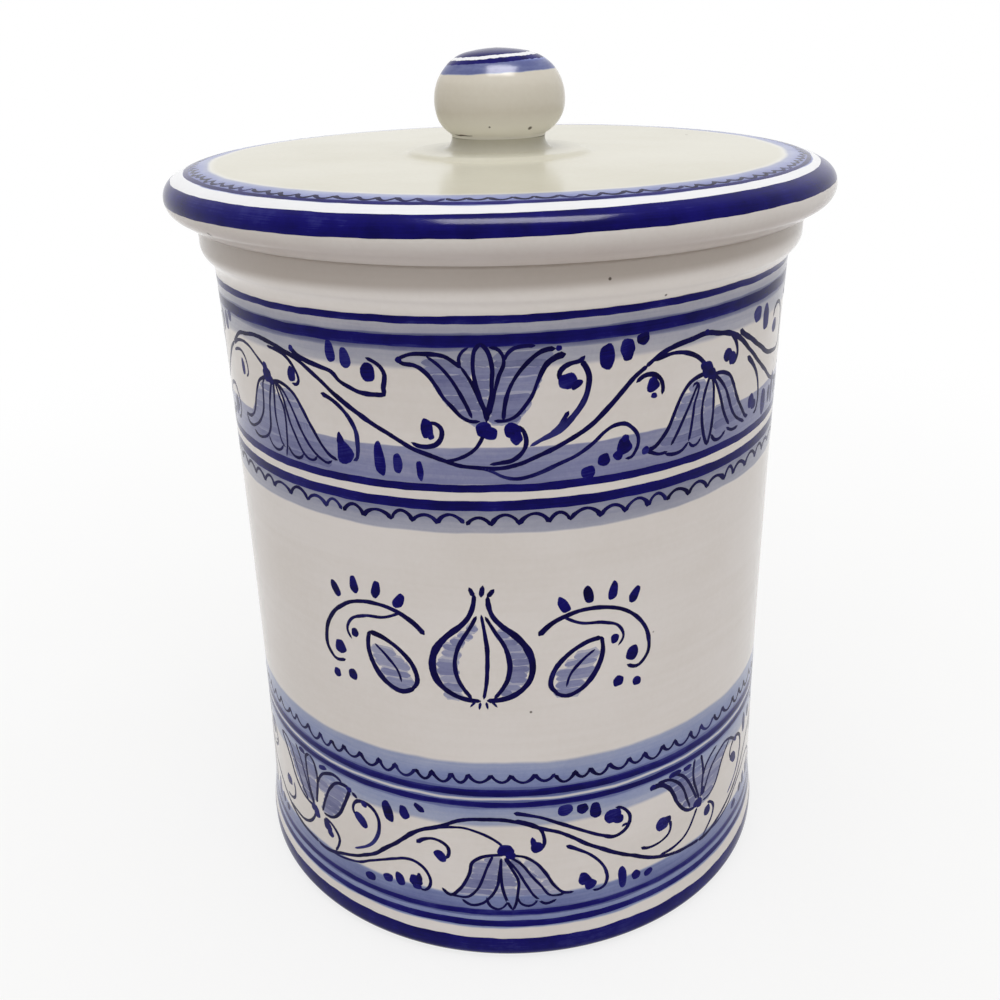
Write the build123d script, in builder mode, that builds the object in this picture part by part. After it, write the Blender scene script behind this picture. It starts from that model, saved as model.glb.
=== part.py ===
"""Garlic keeper: a straight-walled glazed jar, its drop-on lid and the lid's ball knob.

All three pieces are turned, so each one is a single section swept round the Z axis.
The origin is the centre of the foot, on the table. Millimetres, +Z up.
"""
import os

from build123d import *

os.makedirs("parts", exist_ok=True)

# Jar: outside. Spreads are measured outward from the waist, the narrowest part of the wall
waist_radius = 54.3
waist_height = 84.0
hip_spread = 1.05             # where the foot's flare dies into the wall
hip_height = 16.0
flare_spread = 2.2            # widest part of the flare, just above the table
flare_height = 4.6
neck_spread = 0.3             # foot of the cove under the collar
cove_width = 1.2              # hollow lower half of the cove
cove_rise = 2.8
shoulder_width = 1.0          # full upper half of the cove
shoulder_rise = 2.6
collar_height = 3.4           # upright band of the collar, up to the rim
jar_height = 137.0            # rim plane, where the lid sits
foot_edge_round = 2.6
rim_outer_round = 0.8
rim_inner_round = 1.8

# Jar: inside and underside
wall = 5.2                    # at the waist; the inside is a plain cylinder
floor = 7.0
inside_floor_round = 9.0
foot_recess = 2.0             # hollow inside the foot ring
foot_ring_width = 7.0
foot_ring_chamfer = 0.6

# Lid: rolled edge and underside
lid_thickness = 9.3           # rim plane to the top face
seat_overlap = 1.2            # underside reaches past the collar before it turns up
edge_reach = 4.0              # from there out to the widest part
edge_height = 4.5             # of the widest part, above the rim plane
edge_round_width = 1.65       # tight round above the widest part
edge_round_rise = 2.9
roll_width = 6.85             # easy round from there in to the flat top
under_round_width = 1.7       # tight round below the widest part
under_round_drop = 2.9
lid_plate = 5.6               # thickness of the lid inside its locating ring
flange_depth = 6.5
flange_width = 4.0
flange_clearance = 1.1        # between locating ring and mouth, all round
flange_chamfer = 1.2

# Neck and knob
neck_rise = 3.0               # lid's top face to the joint with the knob
ring_width = 7.7              # low turned ring, out from the neck
ring_height = 0.7
ring_chamfer = 0.5
neck_cove = 2.1
knob_radius = 12.25
knob_undercut = 3.45          # from the widest part of the knob in to the joint
knob_height = 15.2
knob_belly_rise = 6.1         # top of the lower round, above the joint
knob_crown_drop = 1.2         # crown's fall from its centre to the full radius
knob_shoulder_round = 7.4

hip_radius = waist_radius + hip_spread
flare_radius = waist_radius + flare_spread
neck_radius = waist_radius + neck_spread
cove_radius = neck_radius + cove_width
collar_radius = cove_radius + shoulder_width
collar_foot = jar_height - collar_height
cove_top = collar_foot - shoulder_rise
neck_height = cove_top - cove_rise
mouth_radius = waist_radius - wall
foot_ring_radius = flare_radius - foot_ring_width
seat_radius = collar_radius + seat_overlap
lid_radius = seat_radius + edge_reach
lid_edge = jar_height + edge_height
lid_top = jar_height + lid_thickness
edge_round_end = (lid_radius - edge_round_width, lid_edge + edge_round_rise)
under_round_end = (lid_radius - under_round_width, lid_edge - under_round_drop)
flat_top_radius = lid_radius - edge_round_width - roll_width
plate_underside = lid_top - lid_plate
flange_radius = mouth_radius - flange_clearance
flange_inner_radius = flange_radius - flange_width
flange_bottom = jar_height - flange_depth
joint_radius = knob_radius - knob_undercut
joint = lid_top + neck_rise
ring_radius = joint_radius + ring_width
ring_top = lid_top + ring_height
knob_belly = joint + knob_belly_rise
knob_top = joint + knob_height
crown_foot = knob_top - knob_crown_drop
up = (0, 1)
down = (0, -1)
outward = (1, 0)
edge_tolerance = 0.01


def turned_edge(part, radius, height):
    """The round edge of this radius at this height."""
    return part.edges().filter_by(GeomType.CIRCLE).filter_by(
        lambda edge: abs(edge.radius - radius) < edge_tolerance
        and abs(edge.arc_center.Z - height) < edge_tolerance
    )


# Jar: foot ring, flared wall, coved collar, plain round inside
with BuildPart() as jar:
    with BuildSketch(Plane.XZ):
        with BuildLine():
            Polyline(
                (0, foot_recess),
                (foot_ring_radius, foot_recess),
                (foot_ring_radius, 0),
                (flare_radius, 0),
                (flare_radius, flare_height),
            )
            lower_wall = TangentArc(
                (waist_radius, waist_height), (hip_radius, hip_height), tangent=down
            )
            TangentArc(
                (hip_radius, hip_height), (flare_radius, flare_height), tangent=lower_wall % 1
            )
            TangentArc((waist_radius, waist_height), (neck_radius, neck_height), tangent=up)
            cove = TangentArc((neck_radius, neck_height), (cove_radius, cove_top), tangent=up)
            TangentArc((cove_radius, cove_top), (collar_radius, collar_foot), tangent=cove % 1)
            Polyline(
                (collar_radius, collar_foot),
                (collar_radius, jar_height),
                (mouth_radius, jar_height),
                (mouth_radius, floor),
                (0, floor),
                (0, foot_recess),
            )
        make_face()
    revolve(axis=Axis.Z)
    fillet(turned_edge(jar, collar_radius, jar_height), rim_outer_round)
    fillet(turned_edge(jar, mouth_radius, jar_height), rim_inner_round)
    fillet(turned_edge(jar, mouth_radius, floor), inside_floor_round)
    fillet(turned_edge(jar, flare_radius, 0), foot_edge_round)
    chamfer(turned_edge(jar, foot_ring_radius, 0), foot_ring_chamfer)
jar.part.label = "jar"

# Lid: rolled edge, ogee underside, locating ring, low ring and neck under the knob
with BuildPart() as lid:
    with BuildSketch(Plane.XZ):
        with BuildLine():
            Polyline(
                (0, plate_underside),
                (0, joint),
                (joint_radius, joint),
                (joint_radius, ring_top),
                (ring_radius, ring_top),
                (ring_radius, lid_top),
                (flat_top_radius, lid_top),
            )
            edge_round = TangentArc((lid_radius, lid_edge), edge_round_end, tangent=up)
            TangentArc(edge_round_end, (flat_top_radius, lid_top), tangent=edge_round % 1)
            under_round = TangentArc((lid_radius, lid_edge), under_round_end, tangent=down)
            TangentArc(under_round_end, (seat_radius, jar_height), tangent=under_round % 1)
            Polyline(
                (seat_radius, jar_height),
                (flange_radius, jar_height),
                (flange_radius, flange_bottom),
                (flange_inner_radius, flange_bottom),
                (flange_inner_radius, plate_underside),
                (0, plate_underside),
            )
        make_face()
    revolve(axis=Axis.Z)
    chamfer(turned_edge(lid, flange_radius, flange_bottom), flange_chamfer)
    chamfer(turned_edge(lid, flange_inner_radius, flange_bottom), flange_chamfer)
    fillet(turned_edge(lid, joint_radius, ring_top), neck_cove)
    chamfer(turned_edge(lid, ring_radius, ring_top), ring_chamfer)
lid.part.label = "lid"

# Knob: a ball thrown on its own, flattened on top, set on the neck
with BuildPart() as knob:
    with BuildSketch(Plane.XZ) as knob_section:
        with BuildLine():
            Polyline((0, knob_top), (0, joint), (joint_radius, joint))
            TangentArc((knob_radius, knob_belly), (joint_radius, joint), tangent=down)
            Line((knob_radius, knob_belly), (knob_radius, crown_foot))
            TangentArc((0, knob_top), (knob_radius, crown_foot), tangent=outward)
        make_face()
        shoulder = knob_section.vertices().group_by(Axis.X)[-1].sort_by(Axis.Y)[-1]
        fillet(shoulder, knob_shoulder_round)
    revolve(axis=Axis.Z)
knob.part.label = "knob"

export_step(jar.part, "parts/jar.step")
export_step(lid.part, "parts/lid.step")
export_step(knob.part, "parts/knob.step")
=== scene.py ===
"""Garlic keeper: a tin-glazed jar and lid painted by hand in cobalt blue.

Lengths in this file are millimetres and angles are degrees unless a comment says otherwise. An
angle round the pot starts at the front, on -Y, and grows towards +X. MM turns millimetres into metres.
"""

import math

import bpy
import numpy as np
from mathutils import Matrix


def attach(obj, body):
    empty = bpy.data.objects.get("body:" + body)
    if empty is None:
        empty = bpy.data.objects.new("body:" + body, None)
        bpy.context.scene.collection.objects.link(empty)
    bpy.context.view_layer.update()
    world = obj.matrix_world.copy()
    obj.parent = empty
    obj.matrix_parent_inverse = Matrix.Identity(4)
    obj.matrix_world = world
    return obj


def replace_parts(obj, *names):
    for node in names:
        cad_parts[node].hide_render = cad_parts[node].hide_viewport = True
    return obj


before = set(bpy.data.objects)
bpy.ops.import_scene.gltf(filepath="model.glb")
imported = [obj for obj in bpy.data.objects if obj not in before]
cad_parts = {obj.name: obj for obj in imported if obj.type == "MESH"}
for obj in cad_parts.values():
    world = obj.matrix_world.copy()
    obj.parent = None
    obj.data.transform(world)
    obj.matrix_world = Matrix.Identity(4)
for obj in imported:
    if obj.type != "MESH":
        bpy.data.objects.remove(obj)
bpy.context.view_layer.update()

MM = 0.001
WHOLE_TURN = 360.0
TURN_STEPS = 360


# ---------------------------------------------------------------- camera

SENSOR_WIDTH = 36.0
LENS_LENGTH = 38.80
CAMERA_PLACE = (0.0, -213.07, 170.01)
CAMERA_DOWN = 24.259
CAMERA_PAN = -0.326
CAMERA_ROLL = -1.200


def make_camera():
    """The axes are level ones pitched down, then panned about their own upright, then rolled."""
    down, pan, roll = (math.radians(a) for a in (CAMERA_DOWN, CAMERA_PAN, CAMERA_ROLL))
    ahead = np.array([0.0, math.cos(down), -math.sin(down)])
    aside = np.array([1.0, 0.0, 0.0])
    above = np.array([0.0, math.sin(down), math.cos(down)])
    ahead, aside = (
        math.cos(pan) * ahead + math.sin(pan) * aside,
        math.cos(pan) * aside - math.sin(pan) * ahead,
    )
    right = math.cos(roll) * aside + math.sin(roll) * above
    up = math.cos(roll) * above - math.sin(roll) * aside
    data = bpy.data.cameras.new("camera")
    data.sensor_width = SENSOR_WIDTH
    data.lens = LENS_LENGTH
    data.clip_start = 0.01
    data.clip_end = 50.0
    camera = bpy.data.objects.new("camera", data)
    bpy.context.scene.collection.objects.link(camera)
    turned = Matrix([list(row) for row in np.stack([right, up, -ahead], axis=1)]).to_4x4()
    turned.translation = [c * MM for c in CAMERA_PLACE]
    camera.matrix_world = turned
    bpy.context.scene.camera = camera


make_camera()


# ---------------------------------------------------------------- shader writing


class Value:
    """A shader socket that takes part in arithmetic: each operator adds one Math node."""

    def __init__(self, finish, socket):
        self.finish = finish
        self.socket = socket

    def math(self, operation, *terms):
        """One Math node over these terms."""
        sockets = dict(enumerate(terms))
        return self.finish.node("ShaderNodeMath", {"operation": operation}, sockets)[0]

    def __add__(self, other):
        return self.math("ADD", self, other)

    def __sub__(self, other):
        return self.math("SUBTRACT", self, other)

    def __rsub__(self, other):
        return self.math("SUBTRACT", other, self)

    def __mul__(self, other):
        return self.math("MULTIPLY", self, other)

    __radd__ = __add__
    __rmul__ = __mul__

    def highest(self, other):
        """The larger of the two."""
        return self.math("MAXIMUM", self, other)

    def slope(self, start, end, low, high, way="LINEAR"):
        """A ramp from low to high, straight or shaped another way, held level outside start and end."""
        sockets = {0: self, 1: start, 2: end, 3: low, 4: high}
        return self.finish.node("ShaderNodeMapRange", {"interpolation_type": way}, sockets)[0]

    def rise(self, start, end, low=0.0, high=1.0):
        """An S-shaped step from low to high as the value goes from start to end."""
        return self.slope(start, end, low, high, "SMOOTHSTEP")


class Finish:
    """A material's or a world's nodes, written as expressions on sockets."""

    def __init__(self, owner):
        self.owner = owner
        owner.use_nodes = True
        self.tree = owner.node_tree
        self.tree.nodes.clear()

    def node(self, kind, settings=None, sockets=None, stops=()):
        """Adds a node: settings first, then a ramp's stops, then the sockets by name or number."""
        made = self.tree.nodes.new(kind)
        for key, value in (settings or {}).items():
            setattr(made, key, value)
        for number, (place, colour) in enumerate(stops):
            elements = made.color_ramp.elements
            stop = elements[number] if number < 2 else elements.new(place)
            stop.position = place
            stop.color = colour
        for key, value in (sockets or {}).items():
            if isinstance(value, Value):
                self.tree.links.new(value.socket, made.inputs[key])
            else:
                made.inputs[key].default_value = value
        return [Value(self, socket) for socket in made.outputs]

    def place(self):
        """The point on the piece in millimetres, as one vector."""
        return self.vector("SCALE", self.node("ShaderNodeTexCoord")[3], {"Scale": 1.0 / MM})

    def vector(self, operation, first, more, out=0):
        """One Vector Math node."""
        return self.node("ShaderNodeVectorMath", {"operation": operation}, {0: first, **more})[out]

    def parts(self, vector):
        """The three numbers of a vector."""
        return self.node("ShaderNodeSeparateXYZ", {}, {0: vector})

    def from_axis(self, place):
        """How far a point lies from the upright axis."""
        return self.vector("LENGTH", self.vector("MULTIPLY", place, {1: (1, 1, 0)}), {}, out=1)

    def noise(self, place, stretch, detail=2.0, roughness=0.5):
        """Cloudy noise between 0 and 1; stretch holds the waves per millimetre on each axis."""
        scaled = self.vector("MULTIPLY", place, {1: stretch})
        sockets = {"Vector": scaled, "Scale": 1.0, "Detail": detail, "Roughness": roughness}
        return self.node("ShaderNodeTexNoise", {}, sockets)[0]

    def mixed(self, share, first, second, way="MIX"):
        """Two colours mixed, or the second laid on the first another way, by share."""
        settings = {"data_type": "RGBA", "blend_type": way}
        return self.node("ShaderNodeMix", settings, {0: share, 6: first, 7: second})[2]

    def ramp(self, value, stops):
        """A colour picked from stops by a number between 0 and 1."""
        return self.node("ShaderNodeValToRGB", {}, {0: value}, stops)[0]

    def done(self, colour, roughness, height=None, depth=0.0, ior=1.5, sheen=0.5):
        """Ends the material in one Principled shader, with height in millimetres felt as relief."""
        sockets = {"Base Color": colour, "Roughness": roughness, "IOR": ior, "Specular IOR Level": sheen}
        if height is not None:
            relief = {"Strength": 1.0, "Distance": depth * MM, "Height": height}
            sockets["Normal"] = self.node("ShaderNodeBump", {}, relief)[0]
        surface = self.node("ShaderNodeBsdfPrincipled", {}, sockets)[0]
        self.node("ShaderNodeOutputMaterial", {}, {"Surface": surface})
        return self.owner


def material(name):
    """A new material's nodes."""
    return Finish(bpy.data.materials.new(name))


def srgb(red, green, blue):
    """A colour in screen numbers from 0 to 255, as the linear colour that a shader takes."""
    share = np.array([red, green, blue]) / 255.0
    linear = np.where(share <= 0.04045, share / 12.92, ((share + 0.055) / 1.055) ** 2.4)
    return (*(float(c) for c in linear), 1.0)


# ---------------------------------------------------------------- palette

GLAZE_JAR = srgb(221, 214, 210)
GLAZE_JAR_DEEP = srgb(214, 206, 200)
GLAZE_LID = srgb(202, 198, 183)
GLAZE_LID_DEEP = srgb(193, 188, 170)
GLAZE_ROLL = srgb(216, 210, 206)
GLAZE_ROLL_DEEP = srgb(207, 199, 193)
# A cooler white for the white rings; on the lid's rim it is also painted light where the rim curves towards
# the light.
GLAZE_RIM = srgb(227, 227, 229)
GLAZE_RIM_DEEP = srgb(220, 219, 220)
GLAZE_KNOB = srgb(214, 208, 196)
GLAZE_KNOB_DEEP = srgb(205, 197, 183)
# Painted light: a paler glaze for the knob's lower part and neck, standing in for light thrown up from the
# lid.
KNOB_FOOT_PAINTED_LIGHT = srgb(240, 237, 228)
BARE_CLAY = srgb(196, 170, 140)
SPECK_BROWN = srgb(62, 48, 38)
COBALT_DEEP = srgb(6, 2, 76)
COBALT_FULL = srgb(14, 8, 98)
COBALT_HALF = srgb(58, 60, 128)
COBALT_THIN = srgb(112, 120, 170)
INK_DEEP = srgb(6, 2, 50)
INK_FULL = srgb(14, 9, 76)
GLAZE_IOR = 1.40
JAR_SHEEN = 0.34
LID_SHEEN = 0.12
KNOB_SHEEN = 0.15

# Painted shade: the collar under the lid's overhang is darkened by this much.
COLLAR_PAINTED_SHADE = (0.72, 0.69, 0.66, 1.0)
# Painted light: the cove below the collar is lightened by this much.
COVE_PAINTED_LIGHT = (1.15, 1.16, 1.17, 1.0)
# Painted shade: the underside of the lid's roll is darkened by this much.
ROLL_UNDER_PAINTED_SHADE = (0.87, 0.84, 0.84, 1.0)
LOW_WASH_TINT = (0.88, 1.00, 1.10, 1.0)
HIGH_WASH_TINT = (1.0, 1.0, 0.88, 1.0)
KNOB_WASH_TINT = (0.94, 1.03, 1.22, 1.0)

# What thinned cobalt lets through of the glaze under it, from none to a full wash.
WASH_STOPS = (
    (0.0, (1.0, 1.0, 1.0, 1.0)),
    (1.0, (0.03, 0.05, 0.21, 1.0)),
    (0.20, (0.50, 0.54, 0.745, 1.0)),
    (0.335, (0.29, 0.325, 0.585, 1.0)),
    (0.50, (0.16, 0.18, 0.42, 1.0)),
)


# ---------------------------------------------------------------- profiles


def tangent_arc(start, heading, end):
    """Points after start on the circle arc that leaves it along heading and reaches end.

    Its centre lies on the line square to heading through start, as far from end as from start.
    A straight line comes out where end lies on the heading. Returns the points and last heading.
    """
    start, heading, end = (np.asarray(p, float) for p in (start, heading, end))
    heading = heading / np.hypot(*heading)
    chord = end - start
    side = np.array([-heading[1], heading[0]])
    off = chord @ side
    length = np.hypot(*chord)
    if abs(off) < 1e-6 * length:
        steps = max(1, math.ceil(length / 3.0))
        return start + np.outer(np.arange(1, steps + 1) / steps, chord), heading
    radius = length**2 / (2 * off)
    turn = 2 * math.atan2(off, chord @ heading)
    steps = max(math.ceil(abs(turn) / math.radians(5.0)), math.ceil(abs(turn * radius) / 2.0))
    angles = np.arange(1, steps + 1) / steps * turn
    points = start + radius * (np.outer(np.sin(angles), heading) + np.outer(1 - np.cos(angles), side))
    return points, math.cos(turn) * heading + math.sin(turn) * side


def chain(start, heading, *ends):
    """A run of tangent arcs through ends, each leaving along the last one's end heading."""
    points = [np.array([start], float)]
    for end in ends:
        more, heading = tangent_arc(points[-1][-1], heading, end)
        points.append(more)
    return np.concatenate(points)


def joined(*runs):
    """Runs of profile points put end to end, with a point that meets its neighbour kept once."""
    points = np.concatenate(runs)
    keep = np.r_[True, np.hypot(*np.diff(points, axis=0).T) > 1e-4]
    return points[keep]


OUT, IN, UP, DOWN = (1.0, 0.0), (-1.0, 0.0), (0.0, 1.0), (0.0, -1.0)

# A pair is a point (radius, height); a single number is one radius or one height, as its name says.
WAIST = (54.3, 84.0)
HIP = (55.35, 16.0)
FLARE = (56.5, 4.6)
NECK = (54.6, 128.2)
COVE_TOP = (55.8, 131.0)
SHOULDER = (56.8, 133.6)
MOUTH_RADIUS = 49.1
JAR_HEIGHT = 137.0
FLOOR_HEIGHT = 7.0
FOOT_WELL = 2.0
FOOT_START = 53.9
WIDEST = (62.0, 141.5)
LID_SEAT = (58.0, JAR_HEIGHT)
LID_FLAT = (53.5, 146.3)
STEP_TOP = 147.0
PLATE_UNDER = 140.7
RING_INNER = 44.0
RING_OUTER = 48.0
RING_BOTTOM = 130.5
NECK_RADIUS = 8.8
NECK_TOP = 149.3
KNOB_BASE = 149.32
KNOB_BELLY = (12.25, 155.27)
KNOB_TOP = (0.0, 164.5)

JAR_PROFILE = joined(
    chain(
        (0, FOOT_WELL), OUT, (48.9, FOOT_WELL), (49.5, 1.4), (49.5, 0.6), (50.1, 0), (FOOT_START, 0),
        (56.5, 2.6), FLARE,
    ),
    chain(WAIST, DOWN, HIP, FLARE)[::-1],
    chain(WAIST, UP, NECK),
    chain(NECK, UP, COVE_TOP, SHOULDER),
    chain(SHOULDER, UP, (56.8, 136.2), (56.0, JAR_HEIGHT), (50.9, JAR_HEIGHT), (MOUTH_RADIUS, 135.2)),
    chain((MOUTH_RADIUS, 135.2), DOWN, (MOUTH_RADIUS, 16), (40.1, FLOOR_HEIGHT), (0, FLOOR_HEIGHT)),
)

LID_PROFILE = joined(
    chain(
        (0, PLATE_UNDER), OUT, (42.4, PLATE_UNDER), (RING_INNER, 139.1), (RING_INNER, 131.3),
        (44.8, RING_BOTTOM), (47.2, RING_BOTTOM),
    ),
    chain((47.2, RING_BOTTOM), OUT, (RING_OUTER, 131.3), (RING_OUTER, 136.4), (48.6, JAR_HEIGHT), LID_SEAT),
    chain(WIDEST, DOWN, (60.3, 138.6), LID_SEAT)[::-1],
    chain(WIDEST, UP, (60.35, 144.4), LID_FLAT),
    chain(
        LID_FLAT, IN, (18.4, 146.3), (16.9, 146.65), (15.4, STEP_TOP), (10.9, STEP_TOP), (NECK_RADIUS, 149.1)
    ),
    chain((NECK_RADIUS, 149.1), UP, (NECK_RADIUS, 149.26), (8.76, NECK_TOP), (0, NECK_TOP)),
)

KNOB_PROFILE = joined(
    chain((0, KNOB_BASE), OUT, (8.72, KNOB_BASE), (NECK_RADIUS, 149.4)),
    chain(KNOB_BELLY, DOWN, (8.9, 149.75))[::-1],
    chain(KNOB_BELLY, UP, (12.19, 156.55), (5.55, 163.89), KNOB_TOP),
)


def jar_sway(angle, height):
    """Hand work: the wall wanders by up to 0.15 mm in two, three and five lobes, away from both ends."""
    a = np.radians(angle)
    held = np.clip((height - 6.0) / 14.0, 0, 1) * np.clip((131.0 - height) / 14.0, 0, 1)
    lobes = 0.07 * np.cos(2 * a + 0.7) + 0.05 * np.cos(3 * a + height / 21.0)
    return held * (lobes + 0.035 * np.sin(5 * a - height / 12.0 + 1.0))


def lid_sway(angle, height):
    """The top plate dips and swells by up to 0.08 mm where it is flat, and the rim stays true."""
    a = np.radians(angle)
    held = np.clip((height - 145.2) / 0.9, 0, 1)
    return held * (0.05 * np.cos(2 * a + 0.4) + 0.03 * np.cos(3 * a - 1.1))


def knob_sway(angle, height):
    """The knob leans to the right and is out of round, by up to 0.45 mm between its joint and its crown."""
    a = np.radians(angle)
    held = np.clip((height - 149.5) / 4.0, 0, 1) * np.clip((164.3 - height) / 3.0, 0, 1)
    lean = 0.30 * np.sin(a)
    return held * (lean + 0.10 * np.cos(2 * a + 0.5) + 0.05 * np.cos(3 * a + height / 3.0))


class Turned:
    """A form turned about the upright axis, from a profile that runs with the outside on its right."""

    def __init__(self, profile, sway):
        self.radius, self.height = profile.T
        self.run = np.r_[0, np.cumsum(np.hypot(*np.diff(profile, axis=0).T))]
        along = np.gradient(profile, self.run, axis=0)
        along /= np.hypot(*along.T)[:, None]
        self.out, self.up = along[:, 1], -along[:, 0]
        self.sway = sway

    def at(self, run, column):
        """A column of the profile read at these runs."""
        return np.interp(run, self.run, column)

    def points(self, angle, run, lift=0.0):
        """Points in metres: radius and height at run, moved along the profile's normal by sway and lift."""
        a = np.radians(angle)
        height = self.at(run, self.height)
        off = lift + self.sway(angle, height)
        radius = self.at(run, self.radius) + self.at(run, self.out) * off
        height = height + self.at(run, self.up) * off
        return np.stack([radius * np.sin(a), -radius * np.cos(a), height], axis=-1) * MM

    def normals(self, angle, run):
        """The outward directions there."""
        a = np.radians(angle)
        out, up = self.at(run, self.out), self.at(run, self.up)
        return np.stack([out * np.sin(a), -out * np.cos(a), up + 0 * a], axis=-1)

    def run_at(self, value, column, start, end):
        """The run at which a column takes this value, on the stretch of points start to end."""
        piece = slice(start, end)
        order = np.argsort(column[piece])
        return np.interp(value, column[piece][order], self.run[piece][order])


# ---------------------------------------------------------------- meshes


class Pile:
    """Grids of points gathered into one mesh."""

    def __init__(self):
        self.spots, self.normals, self.marks, self.loads = [], [], [], []
        self.loops, self.sizes = [], []
        self.count = 0

    def add(self, spots, normals, marks, loads):
        """Takes points with their normals, their two map numbers and their load of paint."""
        self.spots.append(np.reshape(spots, (-1, 3)))
        self.normals.append(np.reshape(normals, (-1, 3)))
        self.marks.append(np.reshape(marks, (-1, 2)))
        self.loads.append(np.reshape(loads, -1))
        first = self.count
        self.count += len(self.spots[-1])
        return first

    def faces(self, corners):
        """Takes an array of faces, one row of vertex numbers for each."""
        corners = np.atleast_2d(corners)
        self.loops.append(corners.ravel())
        self.sizes.append(np.full(len(corners), corners.shape[1]))

    def grid(self, spots, normals, marks, loads, rows_close=False, columns_close=False, capped=False):
        """A grid of quads, rows by columns; a closed direction joins its last line to its first."""
        rows, columns = spots.shape[:2]
        number = self.add(spots, normals, marks, loads) + np.arange(rows * columns).reshape(rows, columns)
        tall = np.vstack([number, number[:1]]) if rows_close else number
        wide = np.hstack([tall, tall[:, :1]]) if columns_close else tall
        quads = np.stack([wide[:-1, :-1], wide[1:, :-1], wide[1:, 1:], wide[:-1, 1:]], axis=-1)
        self.faces(quads.reshape(-1, 4))
        if capped:
            self.faces(number[0])
            self.faces(number[-1][::-1])

    def fan(self, spot, normal, mark, load, ring, turned=False):
        """Closes a ring of vertices with triangles to one new vertex, facing the other way if turned."""
        middle = self.add(spot, normal, mark, load)
        after = np.roll(ring, -1)
        edge = (after, ring) if turned else (ring, after)
        self.faces(np.stack([np.full(len(ring), middle), *edge], axis=-1))

    def piece(self, name, body, slot, finish):
        """Makes the mesh and its object, and says what it rides on and takes its finish from."""
        spots, normals = np.concatenate(self.spots), np.concatenate(self.normals)
        loops, sizes = np.concatenate(self.loops), np.concatenate(self.sizes)
        mesh = bpy.data.meshes.new(name)
        mesh.vertices.add(len(spots))
        mesh.vertices.foreach_set("co", spots.ravel())
        mesh.loops.add(len(loops))
        mesh.loops.foreach_set("vertex_index", loops)
        mesh.polygons.add(len(sizes))
        mesh.polygons.foreach_set("loop_start", np.r_[0, np.cumsum(sizes)[:-1]])
        mesh.polygons.foreach_set("loop_total", sizes)
        mesh.polygons.foreach_set("use_smooth", np.ones(len(sizes), bool))
        mesh.update(calc_edges=True)
        brush_map = mesh.uv_layers.new(name="brush")
        brush_map.data.foreach_set("uv", np.concatenate(self.marks)[loops].ravel())
        load = mesh.attributes.new("load", "FLOAT", "POINT")
        load.data.foreach_set("value", np.concatenate(self.loads))
        mesh.normals_split_custom_set_from_vertices(normals.tolist())
        mesh.materials.append(finish)
        made = bpy.data.objects.new(name, mesh)
        bpy.context.scene.collection.objects.link(made)
        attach(made, body)
        return made


def turned_piece(form, name, body, slot, finish):
    """A closed turned form: a ring for every profile point off the axis, and a fan to each one on it."""
    pile = Pile()
    angle = np.arange(TURN_STEPS) / TURN_STEPS * WHOLE_TURN
    rings, turns = np.meshgrid(form.run[1:-1], angle, indexing="ij")
    marks = np.stack([turns / WHOLE_TURN, rings / form.run[-1]], axis=-1)
    spots = form.points(turns, rings).transpose(1, 0, 2)
    normals = form.normals(turns, rings).transpose(1, 0, 2)
    pile.grid(spots, normals, marks.transpose(1, 0, 2), np.ones(spots.shape[:2]), rows_close=True)
    first = np.arange(TURN_STEPS) * spots.shape[1]
    last = first + spots.shape[1] - 1
    for run, mark, ring, turned in ((form.run[:1], 0.0, first, False), (form.run[-1:], 1.0, last, True)):
        pole, normal = form.points(np.zeros(1), run), form.normals(np.zeros(1), run)
        pile.fan(pole, normal, [[0.5, mark]], [1.0], ring, turned)
    return pile.piece(name, body, slot, finish)


# ---------------------------------------------------------------- the brush

# How far the paint stands off the glaze, and how far its edges and its underside sink into it.
SINK = 0.014
UNDERSIDE = -1.7 * SINK
LIFT_WET = 0.005
LIFT_FILL = 0.008
LIFT_STRIPE = 0.011
LIFT_LINE = 0.015
LIFT_DAB = 0.020

STROKE_STEP = 0.55
STRIPE_STEPS = 720
DAB_STEPS = 18
BRUSH_SEED = 71

# A dab's rings of vertices as shares of its size, the last one underneath, and the paint on each.
DAB_RINGS = np.array([0.3, 0.62, 0.88, 1.0, 0.55])
DAB_LOADS = np.array([1.0, 1.0, 0.95, 0.8, 0.9])

# A stroke's section: the shares of its half width, and the heights there, where 1 stands for its lift.
SIDES = np.array([-1.0, -0.74, 0.74, 1.0, 0.0])
RISES = np.array([-SINK, 1.0, 1.0, -SINK, UNDERSIDE])


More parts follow.
